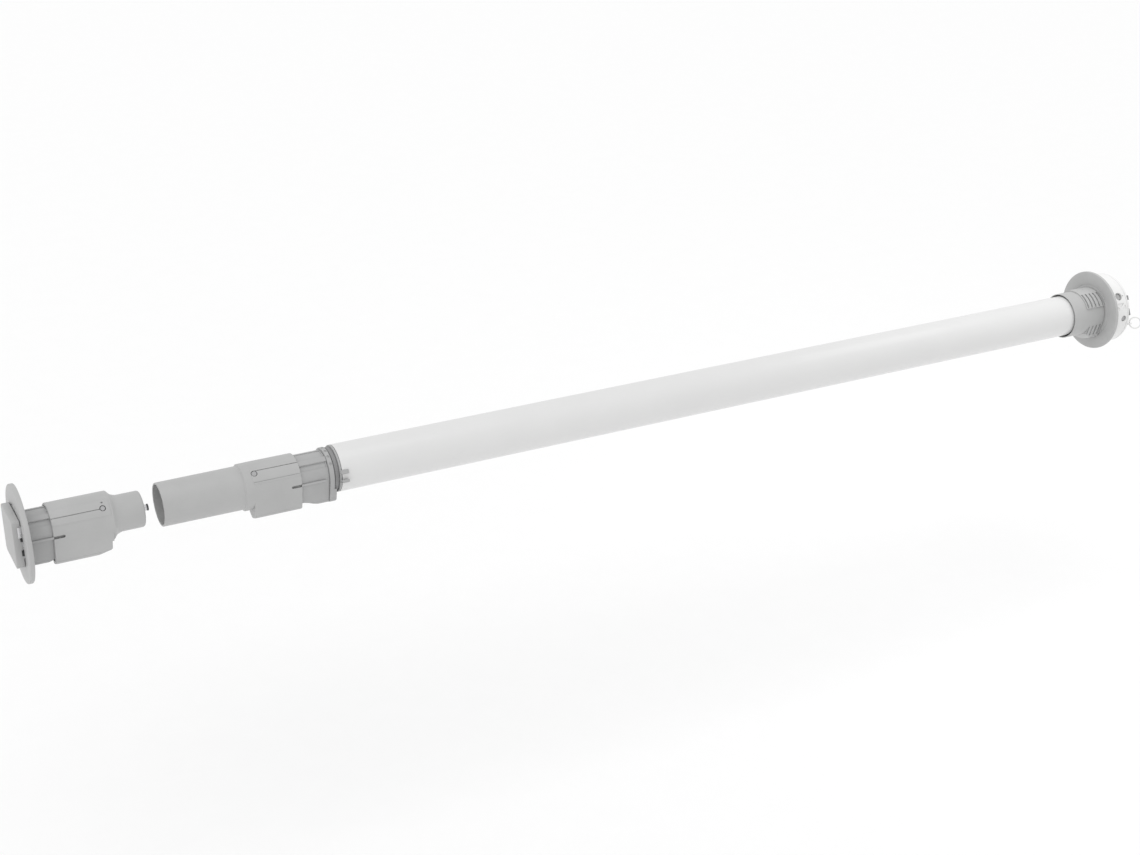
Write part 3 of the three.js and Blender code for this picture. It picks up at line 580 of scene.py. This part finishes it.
def rounded_square(width, height, corner):
    y, z = width / 2, height / 2
    return soften([(-y, -z), (y, -z), (y, z), (-y, z)], [corner] * 4, 8)


# ---------------------------------------------------------------- tools shared by several pieces

def side_bars(x0, x1, half, inner, outer):
    """A flat bar on each side, at the height of the narrow ribs."""
    bar = block("bar", (x0, inner, SLOT_V - half), (x1, outer, SLOT_V + half))
    return [bar, mirrored(bar)]


def key_slots(x0, x1, blind_x):
    """Tools for the short slot in each side of a body. Its blind end is round."""
    end = rod("slot_end", -SLOT_OUTER, -SLOT_INNER, SLOT_HALF, 32)
    end.data.transform(Matrix.Translation((blind_x, 0, SLOT_V)) @ Matrix.Rotation(QUARTER, 4, "Z"))
    return [*side_bars(x0, x1, SLOT_HALF, SLOT_INNER, SLOT_OUTER), end, mirrored(end)]


def rib_grooves(x0, x1):
    """Broad shallow channels beside the wide ribs of a hub, on both sides."""
    grooves = []
    for start, stop in CHANNEL_SPANS:
        outline = arc(HUB_R - CHANNEL_DEPTH, start, stop, 2.0) + arc(HUB_R + 4, stop, start, 2.0)
        groove = loft("groove", [(x0, outline), (x1, outline)])
        grooves += [groove, mirrored(groove)]
    return grooves


def keel_trim(line):
    """A tool that removes all of a keel below a line of (x, v) points."""
    corners = line + [(line[-1][0], -45.0), (line[0][0], -45.0)]
    return skin("trim", [[(x, u, v) for x, v in corners] for u in (-13, 13)])


def strip_groove(x0, x1, v, width, depth, radius):
    """A thin straight groove along both sides of a body of the given radius, at height v."""
    angle = math.degrees(math.asin(v / radius))
    half = math.degrees(width / 2 / radius)
    inner = arc(radius - depth, angle - half, angle + half, 1.0)
    outer = arc(radius + 2, angle + half, angle - half, 1.0)
    groove = loft("groove", [(x0, inner + outer), (x1, inner + outer)])
    return [groove, mirrored(groove)]


def cross_recess(x, degrees, floor_r, reach, width):
    """Two crossed arms that cut a Phillips recess in a radial screw."""
    arms = []
    turn = Matrix.Rotation(math.radians(degrees - 90), 4, "X")
    for size_x, size_v in ((reach, width), (width, reach)):
        arm = block("arm", (-size_x / 2, floor_r, -size_v / 2), (size_x / 2, floor_r + 3.0, size_v / 2))
        arm.data.transform(Matrix.Translation((x, 0, 0)) @ turn)
        arms.append(arm)
    return arms


def front_well(x, screw):
    return pin(x, screw["angle"], 16, 30, screw["well_r"])


def front_screw(x, screw):
    """The head of a radial screw in a body's front."""
    head = pin(x, screw["angle"], 21.6, screw["top_r"], screw["head_r"], edge=0.35)
    return cut(head, *cross_recess(x, screw["angle"], screw["floor_r"], *screw["cross"]))


# ---------------------------------------------------------------- bearing plate and its fittings

def put_on_plate(piece, name, node, slot):
    """The plate stands upright, so neither it nor its fittings are rolled with the keel."""
    put(piece, name, "idler_plate", node, slot, rolled=False)


def put_on_both_sides(piece, name, node, slot):
    """A fitting on the plate's front side and its mirror image on the back. name has a {} for the side."""
    put_on_plate(mirrored(piece), name.format("back"), node, slot)
    put_on_plate(piece, name.format("front"), node, slot)


def make_bearing_plate():
    """A rounded square slab as deep as the CAD node, lips included, with a well in its inner face."""
    x0, x1 = span("bearing_plate")
    side = 2 * radius_of("bearing_plate")
    corner, edge = 4.2, 0.7
    well_depth, well_r = 2.0, 9.6
    plate = prism("plate", rounded_square(side, side, corner), x0, x1, edge, edge)
    well = rod("well", x1 - well_depth, x1 + 1, well_r)
    put_on_plate(cut(plate, well), "bearing_plate_shell", "bearing_plate", "grey_plastic")


def make_plate_screws():
    shank_r, head_r = 1.45, 2.9
    for index in range(1, 5):
        node = f"plate_screw_{index}"
        middle = middle_of(node, rolled=False)
        x1 = span(node)[1]
        head = turned("head", [
            (x1 - 3.6, 0), (x1 - 3.6, shank_r), (x1 - 1.5, shank_r), (x1 - 1.4, head_r),
            (x1 - 0.6, head_r), (x1 - 0.2, 2.3), (x1, 1.2), (x1, 0),
        ], 40)
        slot = block("slot", (x1 - 0.6, -3.2, -0.35), (x1 + 1, 3.2, 0.35))
        screw = shift(cut(head, slot), 0, middle.y, middle.z)
        put_on_plate(screw, f"plate_screw_head_{index}", node, "steel")


def make_plate_clip():
    """A black sheet with a strip, a wall and two pads on each side, and steel lugs and folds. The black wall
    is painted shade: it fills the gap behind the lugs, where shade falls between the plate and the disc.

    Its parts are placed from the far end of the plate's lips, x0, and from the node's own far end, x1.
    """
    x0 = span("bearing_plate")[1]
    x1 = span("plate_clip")[1]
    half = radius_of("bearing_plate")
    fold_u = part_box("plate_clip")[1].y / MM
    strip_low, strip_high = -13.9, 17.9
    sheet_half, hole_r = 12.8, 11.6
    pads = ((3.5, 7.0), (-10.3, -4.7))
    lugs = ((7.2, 17.7), (-4.4, 3.2), (-13.2, -10.6))
    fold_low, fold_high = 7.3, 17.5

    outline = rounded_square(2 * half - 2.6, 2 * sheet_half, 1.5)
    sheet = prism("sheet", outline, x0 + 0.42, x0 + 1.13, 0.2, 0.2)
    hole = rod("hole", x0 - 1, x1 + 1, hole_r, 72)
    strip = block("strip", (x0 + 0.35, -half + 0.5, strip_low), (x0 + 1.3, -half + 2.6, strip_high), 0.25)
    # Painted shade: this black wall fills the gap behind the lugs, where shade falls between the plate and
    # the disc.
    wall = block(
        "wall", (x0 + 1.2, -half + 1.5, strip_low + 0.1), (x1 - 0.25, -half + 2.5, strip_high - 0.1), 0.1,
    )
    base = unite(cut(sheet, hole), strip, mirrored(strip), mirrored(wall), wall)
    for low, high in pads:
        pad = block("pad", (x0 - 1.5, -half - 0.3, low), (x0 + 1.0, -half - 0.06, high), 0.05)
        root = block("root", (x0 + 0.4, -half - 0.2, low), (x0 + 1.0, -half + 0.7, high))
        base = unite(base, mirrored(pad), mirrored(root), pad, root)
    put_on_plate(base, "clip_base", "plate_clip", "black_plastic")

    for index, (low, high) in enumerate(lugs, 1):
        lug = block("lug", (x0 + 1.4, -half + 0.17, low), (x1, -half + 1.4, high), 0.4)
        put_on_both_sides(lug, f"clip_lug_{{}}_{index}", "plate_clip", "steel")
    bridge = block(
        "bridge", (x0 + 0.45, -fold_u + 0.06, fold_low + 0.1), (x0 + 1.25, -half + 0.42, fold_high + 0.1),
        0.2,
    )
    fold = block("fold", (x0 - 3.1, -fold_u, fold_low), (x0 + 1.2, -fold_u + 0.75, fold_high), 0.25)
    put_on_both_sides(unite(fold, bridge), "clip_fold_{}", "plate_clip", "steel")


# ---------------------------------------------------------------- idler unit

def end_disc(seat_x, back_x, bore, groove_r, groove_side, relief=0.5):
    """A large end disc: a seat near the rim, a middle set back by the relief and a ring groove."""
    sign = 1 if back_x > seat_x else -1
    middle_x = seat_x + sign * relief
    seat_r, edge, groove_depth = 32.0, 0.9, 0.45
    loop = soften([
        (back_x, bore), (back_x, DISC_R), (seat_x, DISC_R), (seat_x, seat_r), (middle_x, seat_r),
        (middle_x, bore),
    ], [0.2, edge, edge, relief / 4, relief / 4, relief / 4])
    face, inwards = (back_x, -sign) if groove_side == "back" else (middle_x, sign)
    floor_x = face + inwards * groove_depth
    trench = turned("trench", soften([
        (face - inwards, groove_r - 1.1), (face - inwards, groove_r + 1.1), (floor_x, groove_r + 0.6),
        (floor_x, groove_r - 0.6),
    ], [0, 0, 0.25, 0.25], 3), FINE)
    return cut(turned("disc", loop, FINE), trench)


def make_idler_disc():
    x0, x1 = span("idler_disc")
    disc = end_disc(x1, x0, 11.7, 26.2, "back")
    put(disc, "idler_disc_moulding", "idler_hub", "idler_disc", "grey_plastic")


def make_damper():
    """A flat half-moon ring, wider below the axis."""
    x0, x1 = span("damper_ring")
    low_r, high_r, bore, edge = 19.5, 15.1, 12.7, 0.25
    pad = prism("pad", arc(low_r, 182, 358) + arc(high_r, 4, 176), x0, x1, edge, edge)
    put(cut(pad, rod("bore", x0 - 1, x1 + 1, bore, 96)), "damper_ring_rubber", "idler_hub", "damper_ring",
        "rubber")


def make_idler_hub():
    """A keeled, ribbed hub: a stepped seat for the pin and bearing, and a bore for the spring."""
    x0, x1 = span("idler_hub")
    mouth = span("idler_body")[0]
    pin_r, spring_r, seat_r = 6.5, 11.5, 11.3
    hub = prism("hub", hub_outline(), x0, x1, 0.4, 1.2)
    hub = unite(hub, *side_bars(x0 + 2.5, mouth + 0.5, RIB_HALF, SLOT_INNER, RIB_REACH))
    lift = keel_trim([
        (x0, HUB_KEEL - 1), (mouth - 5, HUB_KEEL - 0.02), (mouth - 2.5, HUB_KEEL + 0.9),
        (mouth, HUB_KEEL + 2.0), (x1 + 1, HUB_KEEL + 2.1),
    ])
    bore = rod("bore", x1 - 22, x1 + 1, spring_r)
    seat = turned("seat", [
        (x0 - 1, 0), (x0 - 1, seat_r), (x0 + 14, seat_r), (x0 + 14, pin_r), (x1 - 20, pin_r), (x1 - 20, 0),
    ], COARSE)
    hub = cut(hub, bore, seat, lift, *rib_grooves(x0 + 1.2, x1 + 1))
    put(hub, "idler_hub_moulding", "idler_hub", "idler_hub", "hub_plastic")


def make_idler_body():
    """A keeled body around a round core that steps down to the stub."""
    x0, x1 = span("idler_body")
    keel_end, step_end, stub_x = x1 - 32.5, x1 - 27.7, x1 - 21.9
    stub_r, bolt_r, dish_r = 16.55, 3.3, 9.5
    body = prism("body", body_outline(IDLER_R, IDLER_DROP), x0, keel_end + 1.8, 0.9, 0.6, 5)
    core = turned("core", [
        (x0 + 2, 0), (x0 + 2, IDLER_R - 0.6), (keel_end, IDLER_R - 0.05), (step_end - 1.4, IDLER_R - 0.05),
        (step_end - 0.6, IDLER_R - 0.8), (step_end + 0.6, 19.9), (step_end + 2.0, 18.6),
        (step_end + 3.2, 17.8), (stub_x - 0.6, 17.1), (stub_x + 1.4, stub_r), (x1 - 1.8, stub_r),
        (x1 - 0.9, stub_r - 0.3), (x1 - 0.3, stub_r - 0.9), (x1, stub_r - 1.8), (x1, 0),
    ], MEDIUM)
    hollow = prism("hollow", hub_outline(HUB_GAP), x0 - 1, x0 + 47)
    bolt_hole = rod("bolt_hole", x0 + 40, x1 + 1, bolt_r, 48)
    dish = turned("dish", [(x1 - 0.7, 0), (x1 - 0.7, dish_r), (x1 + 1, dish_r + 1.5), (x1 + 1, 0)], 96)
    trim = keel_trim([
        (keel_end - 14, -33), (keel_end - 11.5, -32.2), (keel_end - 9, -31.6), (keel_end - 4.7, -30.6),
        (keel_end - 1.5, -30.0), (keel_end - 0.5, -29.2), (keel_end - 0.1, -28.0), (keel_end + 0.1, -22.5),
        (keel_end + 4, -22.4),
    ])
    screw_x = middle_of("idler_screw").x
    body = cut(
        unite(body, core), trim, hollow, bolt_hole, dish, *key_slots(x0 - 1, x0 + TELESCOPE, x0 + TELESCOPE),
        *strip_groove(x0 - 1, screw_x, 7.6, 0.8, 0.8, IDLER_R + STRIP),
        front_well(screw_x, IDLER_SCREW),
        # A small dimple above the screw.
        pin(screw_x + 0.4, IDLER_SCREW["angle"] - 13.5, 22.0, 30, 1.0),
    )
    put(body, "idler_body_moulding", "idler_body", "idler_body", "grey_plastic")
    put(front_screw(screw_x, IDLER_SCREW), "idler_screw_head", "idler_body", "idler_screw", "screw_steel")


def make_axial_bolt():
    """A plain stepped bolt out of the stub, and the round nut on it."""
    x0, x1 = span("axial_bolt")
    nut_x0, nut_x1 = span("bolt_nut")
    shank, neck, chamfer = 2.85, 2.15, 0.4
    step = nut_x0 - 0.35
    bolt = turned("bolt", [
        (x0, 0), (x0, shank), (step - 0.3, shank), (step, shank - 0.3), (step, neck),
        (x1 - chamfer, neck), (x1, neck - chamfer), (x1, 0),
    ], 48)
    put(bolt, "axial_bolt_shank", "idler_body", "axial_bolt", "steel")
    nut = turned("nut", tube_profile(nut_x0, nut_x1, radius_of("bolt_nut"), 2.5, 0.3), COARSE)
    put(nut, "bolt_nut_round", "idler_body", "bolt_nut", "dark_steel")


# ---------------------------------------------------------------- drive adapter

def make_drive_sleeve():
    """A round open sleeve in one piece with the keeled body that the drive hub plugs into."""
    x0, x1 = span("drive_sleeve")
    core_x, keel_x = x1 - 52.9, x1 - 45.2
    floor_x = x0 + 60
    outer, bore, shaft_r = 20.15, 18.4, 6
    shell = turned("shell", [
        (floor_x, 0), (floor_x, bore), (x0 + 0.25, bore), (x0, bore + 0.3), (x0, outer - 0.5),
        (x0 + 0.25, outer - 0.15), (x0 + 0.8, outer), (core_x - 0.6, outer + 0.2),
        (core_x + 0.8, DRIVE_R - 0.1), (x1 - 4, DRIVE_R - 0.05), (x1 - 4, 0),
    ], MEDIUM)
    body = prism("body", body_outline(DRIVE_R, DRIVE_DROP), keel_x, x1, 1.2, 0.9, 5)
    sleeve = unite(shell, body)
    wall = rod("wall", floor_x - 1, floor_x + 4, bore, MEDIUM)
    hollow = prism("hollow", hub_outline(HUB_GAP), x1 - 43.6, x1 + 1)
    passage = rod("passage", floor_x, x1 - 42, shaft_r, 48)
    screw_x = middle_of("sleeve_screw").x
    sleeve = cut(
        sleeve, wall, hollow, passage, *key_slots(x1 - TELESCOPE, x1 + 1, x1 - TELESCOPE),
        *strip_groove(screw_x, x1 + 1, 12.9, 0.8, 0.8, DRIVE_R + STRIP),
        *strip_groove(screw_x - 4, x1 + 1, 2.7, 0.5, 0.4, DRIVE_R + STRIP),
        front_well(screw_x, SLEEVE_SCREW),
    )
    put(sleeve, "drive_sleeve_moulding", "drive_sleeve", "drive_sleeve", "grey_plastic")
    screw = front_screw(screw_x, SLEEVE_SCREW)
    put(screw, "sleeve_screw_head", "drive_sleeve", "sleeve_screw", "screw_steel")


def make_drive_hub():
    """A keeled, ribbed hub whose keel rises towards the sleeve, with a stepped bore for the shaft."""
    x0, x1 = span("drive_hub")
    mouth = span("drive_sleeve")[1]
    bearing_r = 12
    hub = prism("hub", hub_outline(), x0, x1, 1.2, 0.4)
    hub = unite(hub, *side_bars(mouth - 0.5, x1 - 3.6, RIB_HALF, SLOT_INNER, RIB_REACH))
    lift = keel_trim([
        (x0 - 1, HUB_KEEL + 3.8), (mouth + 2, HUB_KEEL + 3.8), (mouth + 5, HUB_KEEL + 3.3),
        (mouth + 9.4, HUB_KEEL + 2.2), (mouth + 13.7, HUB_KEEL + 0.7), (mouth + 17, HUB_KEEL - 0.02),
        (x1, HUB_KEEL - 1),
    ])
    bore = turned("bore", [
        (x0 - 1, 0), (x0 - 1, bearing_r), (x0 + 9.4, bearing_r), (x0 + 9.4, SHAFT_BORE), (x1 + 1, SHAFT_BORE),
        (x1 + 1, 0),
    ], COARSE)
    hub = cut(hub, bore, lift, *rib_grooves(x0 - 1, x1 - 1.2))
    put(hub, "drive_hub_moulding", "drive", "drive_hub", "hub_plastic")


def make_drive_flange():
    """A keeled flange with shallow round notches in its edge and a lobe over the tube's end."""
    x0, lobe_x = span("drive_flange")
    x1 = lobe_x - 2.3
    outer = DRIVE_R - 0.35
    inside_r = TUBE_R + 0.35
    notch_r = 1.4
    outline = both_sides([*keeled_side(0.9, outer, DRIVE_DROP), *arc(outer, 4, 90)])
    flange = prism("flange", outline, x0, x1, 0.8, 1.0, 5)
    inside = rod("inside", x1 - 2, lobe_x + 1, inside_r, MEDIUM)
    lobe = cut(prism("lobe", outline, x1 - 1.5, lobe_x, 0.3, 1.4, 5), inside)
    notches = [pin((x0 + x1) / 2, angle, outer - 0.7, 26, notch_r, 32) for angle in NOTCH_ANGLES]
    bore = rod("bore", x0 - 1, x1 + 1, SHAFT_BORE)
    flange = unite(cut(flange, bore, *notches), lobe)
    put(flange, "drive_flange_moulding", "drive", "drive_flange", "hub_plastic")


# ---------------------------------------------------------------- motor tube and its end ring

def make_motor_tube():
    x0, x1 = span("motor_tube")
    tube = turned("tube", tube_profile(x0, x1, TUBE_R, TUBE_R - 1.2, 0.3), FINE)
    put(tube, "motor_tube_coated", "motor", "motor_tube", "white_tube")


def make_end_ring():
    """A ring plugged into the tube's end, with two tabs on each side that reach over the tube."""
    x0, x1 = span("tube_end_ring")
    tube_x = span("motor_tube")[0]
    shoulder_x = tube_x - 0.3
    plug, bore, lip_bore = TUBE_R - 1.5, 13.4, 9.6
    over_r = TUBE_R + 0.25
    ring = turned("ring", soften([
        (x0, bore), (x1, bore), (x1, plug), (shoulder_x, plug), (shoulder_x, TUBE_R - 0.4),
        (x0 + 1.2, TUBE_R - 0.1), (x0, TUBE_R - 0.1),
    ], [0.4, 0.4, 0.4, 0, 0.2, 0.4, 0.5]), MEDIUM)
    lip = turned("lip", [(x1 - 9, lip_bore), (x1, lip_bore), (x1, 14), (x1 - 9, 14)], COARSE)
    tabs = []
    for low, high, length in ((-6.5, -2.5, 6.0), (-14.5, -11.5, 5.2)):
        tab = block("tab", (x0 + 0.6, -TUBE_R - 1.0, low), (tube_x + length, -15.5, high), 0.4)
        inside = turned("inside", [
            (x0 - 1, 0), (x0 - 1, 20.4), (shoulder_x, 20.4), (shoulder_x, over_r), (tube_x + 9, over_r),
            (tube_x + 9, 0),
        ], MEDIUM)
        tabs.append(cut(tab, inside))
    ring = unite(ring, lip, *tabs, *[mirrored(tab) for tab in tabs])
    put(ring, "tube_end_ring_moulding", "motor", "tube_end_ring", "hub_plastic")


def make_tube_seal():
    x0, x1 = span("tube_seal")
    seal = turned("seal", tube_profile(x0, x1, radius_of("tube_seal") - 0.05, 14.0, 0.5), MEDIUM)
    put(seal, "tube_seal_ring", "motor", "tube_seal", "dark_plastic")


# ---------------------------------------------------------------- crown

def make_crown_collar():
    """A thin collar with a shoulder above, a keel that ramps up below, and slots across both."""
    x0, x1 = span("crown_collar")
    outer = CROWN_R - 0.05
    shoulder_x, keel_x = x0 + 17.8, x0 + 22.4
    collar = turned("collar", [
        (x0 + 0.1, CROWN_BORE), (x1, CROWN_BORE), (x1, outer), (x0 + 0.35, outer), (x0, outer - 0.35),
        (x0, CROWN_BORE + 0.1),
    ], FINE)
    flank = [(8.2, -28.6), polar(outer - 0.25, -41.5)]
    tip = [(3.8, -31.0), (5.8, -30.6), (7.2, -29.8)]
    keel = both_sides([*tip, *flank, *arc(CROWN_BORE + 0.35, -42, -89)])
    over = arc(SHOULDER_R, SHOULDER_START, 180 - SHOULDER_START)
    under = arc(outer - 0.4, 180 - SHOULDER_START, SHOULDER_START)
    shoulder = prism("shoulder", over + under, shoulder_x, x1 - 0.02, 0.3)
    ramp = keel_trim([
        (keel_x - 1, -outer - 0.2), (keel_x + 0.3, -outer - 0.2), (keel_x + 9, -31.0), (x1 + 1, -33),
    ])
    collar = unite(collar, cut(prism("keel", keel, keel_x, x1 - 0.04), ramp), shoulder)
    grooves = []
    for i in range(5):
        start = x0 + 18.8 + GROOVE_PITCH * i
        grooves.append(arc_window(start, start + 2.0, outer - 0.3, 6.8, 46.0))
    for i in range(4):
        start = x0 + 23.0 + GROOVE_PITCH * i
        grooves.append(flank_window(start, start + 1.9, flank, 1.1))
    collar = cut(collar, *grooves, *[mirrored(groove) for groove in grooves])
    put(collar, "crown_collar_moulding", "crown", "crown_collar", "grey_plastic")


def make_crown_disc():
    x0, x1 = span("crown_disc")
    disc = end_disc(x0, x1, CROWN_BORE, 29.6, "seat", 0.12)
    put(disc, "crown_disc_moulding", "crown", "crown_disc", "grey_plastic")


def flank_window(x0, x1, flank, depth):
    """A slot across a keel's flank, which is a straight line between two (u, v) points."""
    start, end = (Vector(point) for point in flank)
    along = (end - start).normalized()
    out = Vector((along.y, -along.x))
    first, last = start + along * 0.8, end - along * 1.6
    corners = [first - out * depth, first + out * 4, last + out * 4, last - out * depth]
    outline = [tuple(corner) for corner in corners]
    return loft("window", [(x0, outline), (x1, outline)])


def arc_window(x0, x1, floor_r, start, stop):
    """A groove that runs part of the way round a collar."""
    outline = arc(floor_r, start, stop, 2.0) + arc(floor_r + 8, stop, start, 2.0)
    return loft("window", [(x0, outline), (x1, outline)])


# ---------------------------------------------------------------- motor head

def make_head():
    """A round cup with a neck in the tube, the setting holes and crossed ribs on the front."""
    x0 = span("crown_disc")[1] + 0.5
    cup_x = span("head_cover")[0] - 0.3
    neck_x = span("motor_head")[0]
    tube_end = span("motor_tube")[1] + 0.4
    button_x = middle_of("setting_button").x
    limit_x = middle_of("limit_screw").x
    wall_r, bore, floor = 36.3, 9, 3.2
    neck_r = TUBE_R - 0.3
    inner_r = TUBE_R - 1.6
    cup = turned("cup", soften([
        (x0, bore), (x0, HEAD_R), (cup_x, HEAD_R), (cup_x, wall_r), (x0 + floor, wall_r), (x0 + floor, bore),
    ], [0.3, 0.9, 0.25, 0.2, 0.6, 0.3]), FINE)
    neck = turned("neck", [
        (neck_x, bore), (x0 + 1, bore), (x0 + 1, neck_r), (tube_end, neck_r), (tube_end, inner_r),
        (neck_x, inner_r),
    ])
    cup = cut(
        unite(cup, neck),
        pin(button_x, BUTTON_ANGLE, 30, 44, 4.5, COARSE),
        pin(limit_x, LIMIT_ANGLE, 30, 44, 3.45, COARSE),
        *lattice_pockets(x0 + 1.6, cup_x - 1.3),
        # A pin-sized hole beside the button.
        pin(button_x + 6.0, BUTTON_ANGLE, 37.5, 44, 0.8, 20),
    )
    put(cup, "motor_head_moulding", "motor", "motor_head", "white_plastic")

    stem = pin(button_x, BUTTON_ANGLE, 27, 33.5, 4.7)
    button = unite(stem, pin(button_x, BUTTON_ANGLE, 33, 37, 4.1, edge=0.8))
    put(button, "setting_button_cap", "setting_button", "setting_button", "hub_plastic")
    head = pin(limit_x, LIMIT_ANGLE, 33, 38, 3.1, COARSE, 0.5)
    screw = unite(head, pin(limit_x, LIMIT_ANGLE, 28.6, 33.5, 2, 32))
    screw = cut(screw, *cross_recess(limit_x, LIMIT_ANGLE, 36.6, 4.8, 1.15))
    put(screw, "limit_screw_head", "limit_screw", "limit_screw", "screw_steel")


def lattice_pockets(x0, x1):
    """Four triangular pockets that leave crossed ribs on the head's front side."""
    low, high = -12.2, 2.2
    shrink, depth = 0.66, 0.9
    middle = ((x0 + x1) / 2, (low + high) / 2)
    corners = [(x0, low), (x1, low), (x1, high), (x0, high)]
    pockets = []
    for i in range(4):
        triangle = [corners[i], corners[(i + 1) % 4], middle]
        centre = [sum(point[k] for point in triangle) / 3 for k in (0, 1)]
        shrunk = [tuple(centre[k] + (point[k] - centre[k]) * shrink for k in (0, 1)) for point in triangle]
        outline = soften(shrunk, [0.4] * 3, 3)
        pockets.append(skin("pocket", [
            [(x, u, v) for x, v in outline] for u in (-HEAD_R - 2, -HEAD_R + depth)
        ]))
    return pockets


def make_head_cover():
    """The head's end cover: a raised round pad, latch notches, the inlet's opening and screw wells."""
    x0, x1 = span("head_cover")
    rim_x, pad_r = x1 - 1.0, 24.0
    well_r, hole_r = 3.7, 2.0
    cover = turned("cover", soften([
        (x0, 0), (x0, HEAD_R), (rim_x, HEAD_R), (rim_x, pad_r), (x1, pad_r), (x1, 0),
    ], [0, 0.25, 1.0, 0.3, 0.5, 0]), FINE)
    notch_x = span("bracket_latch_upper")[0] - 0.3
    tools = []
    for low, high in LATCHES.values():
        tools.append(block("notch", (notch_x, -HEAD_R - 2, low), (x1 + 1, -33, high)))
    tools.append(block("socket", (x0 - 1, -8, -20), (x1 + 1, 8, -10)))
    for node in COVER_SCREWS:
        middle = middle_of(node)
        well = turned("well", [
            (x0 - 1, 0), (x0 - 1, hole_r), (x0 + 1.2, hole_r), (x0 + 1.2, well_r), (x1 + 1, well_r),
            (x1 + 1, 0),
        ], 40)
        tools.append(shift(well, 0, middle.y, middle.z))
    put(cut(cover, *tools), "head_cover_moulding", "motor", "head_cover", "white_plastic")


def make_cover_screws():
    shank_r, head_r = 1.7, 3.3
    for index, node in enumerate(COVER_SCREWS, 1):
        middle = middle_of(node)
        start, end = span(node)
        head = turned("head", [
            (start, 0), (start, 1.2), (start + 1, shank_r), (end - 1.5, shank_r), (end - 1.3, head_r),
            (end - 0.6, head_r), (end, 1.6), (end, 0),
        ], 40)
        arms = [block("arm", (end - 1.0, -a, -b), (end + 1, a, b)) for a, b in ((2.0, 0.4), (0.4, 2.0))]
        screw = shift(cut(head, *arms), 0, middle.y, middle.z)
        put(screw, f"cover_screw_head_{index}", "motor", node, "screw_steel")


def make_power_inlet():
    """A socket with three contact pins."""
    x0, x1 = span("power_inlet")
    contact_v, contact_r, contact_pitch = -15, 0.9, 3.6
    shell = block("inlet", (x0, -7.7, -19.7), (x1, 7.7, -10.3), 0.5)
    socket = block("socket", (x1 - 9.4, -6.3, -18.4), (x1 + 1, 6.3, -11.6))
    contacts = []
    for side in (-1, 0, 1):
        contact = turned("contact", [
            (x1 - 10, 0), (x1 - 10, contact_r), (x1 - 3, contact_r), (x1 - 2.4, 0.3), (x1 - 2.4, 0),
        ], 24)
        contacts.append(shift(contact, 0, side * contact_pitch, contact_v))
    put(unite(cut(shell, socket), *contacts), "power_inlet_socket", "motor", "power_inlet", "black_plastic")


def make_latches():
    for node, (low, high) in LATCHES.items():
        x0, x1 = span(node)
        reach = math.sqrt(HEAD_R ** 2 - max(low ** 2, high ** 2)) - 0.65
        latch = block("latch", (x0, -reach, low + 0.32), (x1, -33.35, high - 0.32), 0.35)
        put(latch, f"{node}_catch", "motor", node, "dark_plastic")


# ---------------------------------------------------------------- wire ring and its eye

def make_ring_eye():
    x0, x1 = span("ring_eye")
    back_u, front_u = EYE_U + 3.5, EYE_U - 2.3
    corners = [(x0, back_u), (x0, front_u), (x1, front_u), (x1, back_u)]
    outline = soften(corners, [0.3, 1.6, 1.8, 1.8], 6)
    half = 0.75
    plate = skin("eye", [[(x, u, v) for x, u in outline] for v in (EYE_V + half, EYE_V - half)])
    hole = rod("hole", -4, 4, 1.35, 40)
    hole.data.transform(Matrix.Translation((x1 - EYE_INSET, EYE_U, EYE_V)) @ Matrix.Rotation(QUARTER, 4, "Y"))
    put(cut(plate, hole), "ring_eye_plate", "motor", "ring_eye", "white_plastic")


def make_release_ring():
    """A wire hoop through the eye's hole, turned about the hole's axis."""
    eye_x = span("ring_eye")[1] - EYE_INSET
    wire, radius, around, across = 0.75, 6.2, 72, 20
    section = [polar(wire, 360 * k / across) for k in range(across)]
    hoop = turned("hoop", [(side, radius + out) for out, side in section], around)
    hoop.data.transform(Matrix.Rotation(QUARTER, 4, "Z"))
    tilt = Matrix.Rotation(math.radians(-RING_TILT), 4, "Z") @ Matrix.Translation((radius, 0, 0))
    hoop.data.transform(Matrix.Translation((eye_x, EYE_U, EYE_V)) @ tilt)
    put(hoop, "release_ring_wire", "release_ring", "release_ring", "white_wire")


# ---------------------------------------------------------------- everything

make_camera()
make_studio()
materials = make_materials()

# Every CAD node takes its slot's material too, so the ones that stay in view look alike.
for entry in frame["record"]["subparts"]:
    node = frame["nodes"][entry["node"]]
    node.data.materials.clear()
    node.data.materials.append(materials[entry["material_slot"]])

make_bearing_plate()
make_plate_screws()
make_plate_clip()
make_idler_disc()
make_damper()
make_idler_hub()
make_idler_body()
make_axial_bolt()
make_drive_sleeve()
make_drive_hub()
make_drive_flange()
make_motor_tube()
make_end_ring()
make_tube_seal()
make_crown_collar()
make_crown_disc()
make_head()
make_head_cover()
make_cover_screws()
make_power_inlet()
make_latches()
make_ring_eye()
make_release_ring()
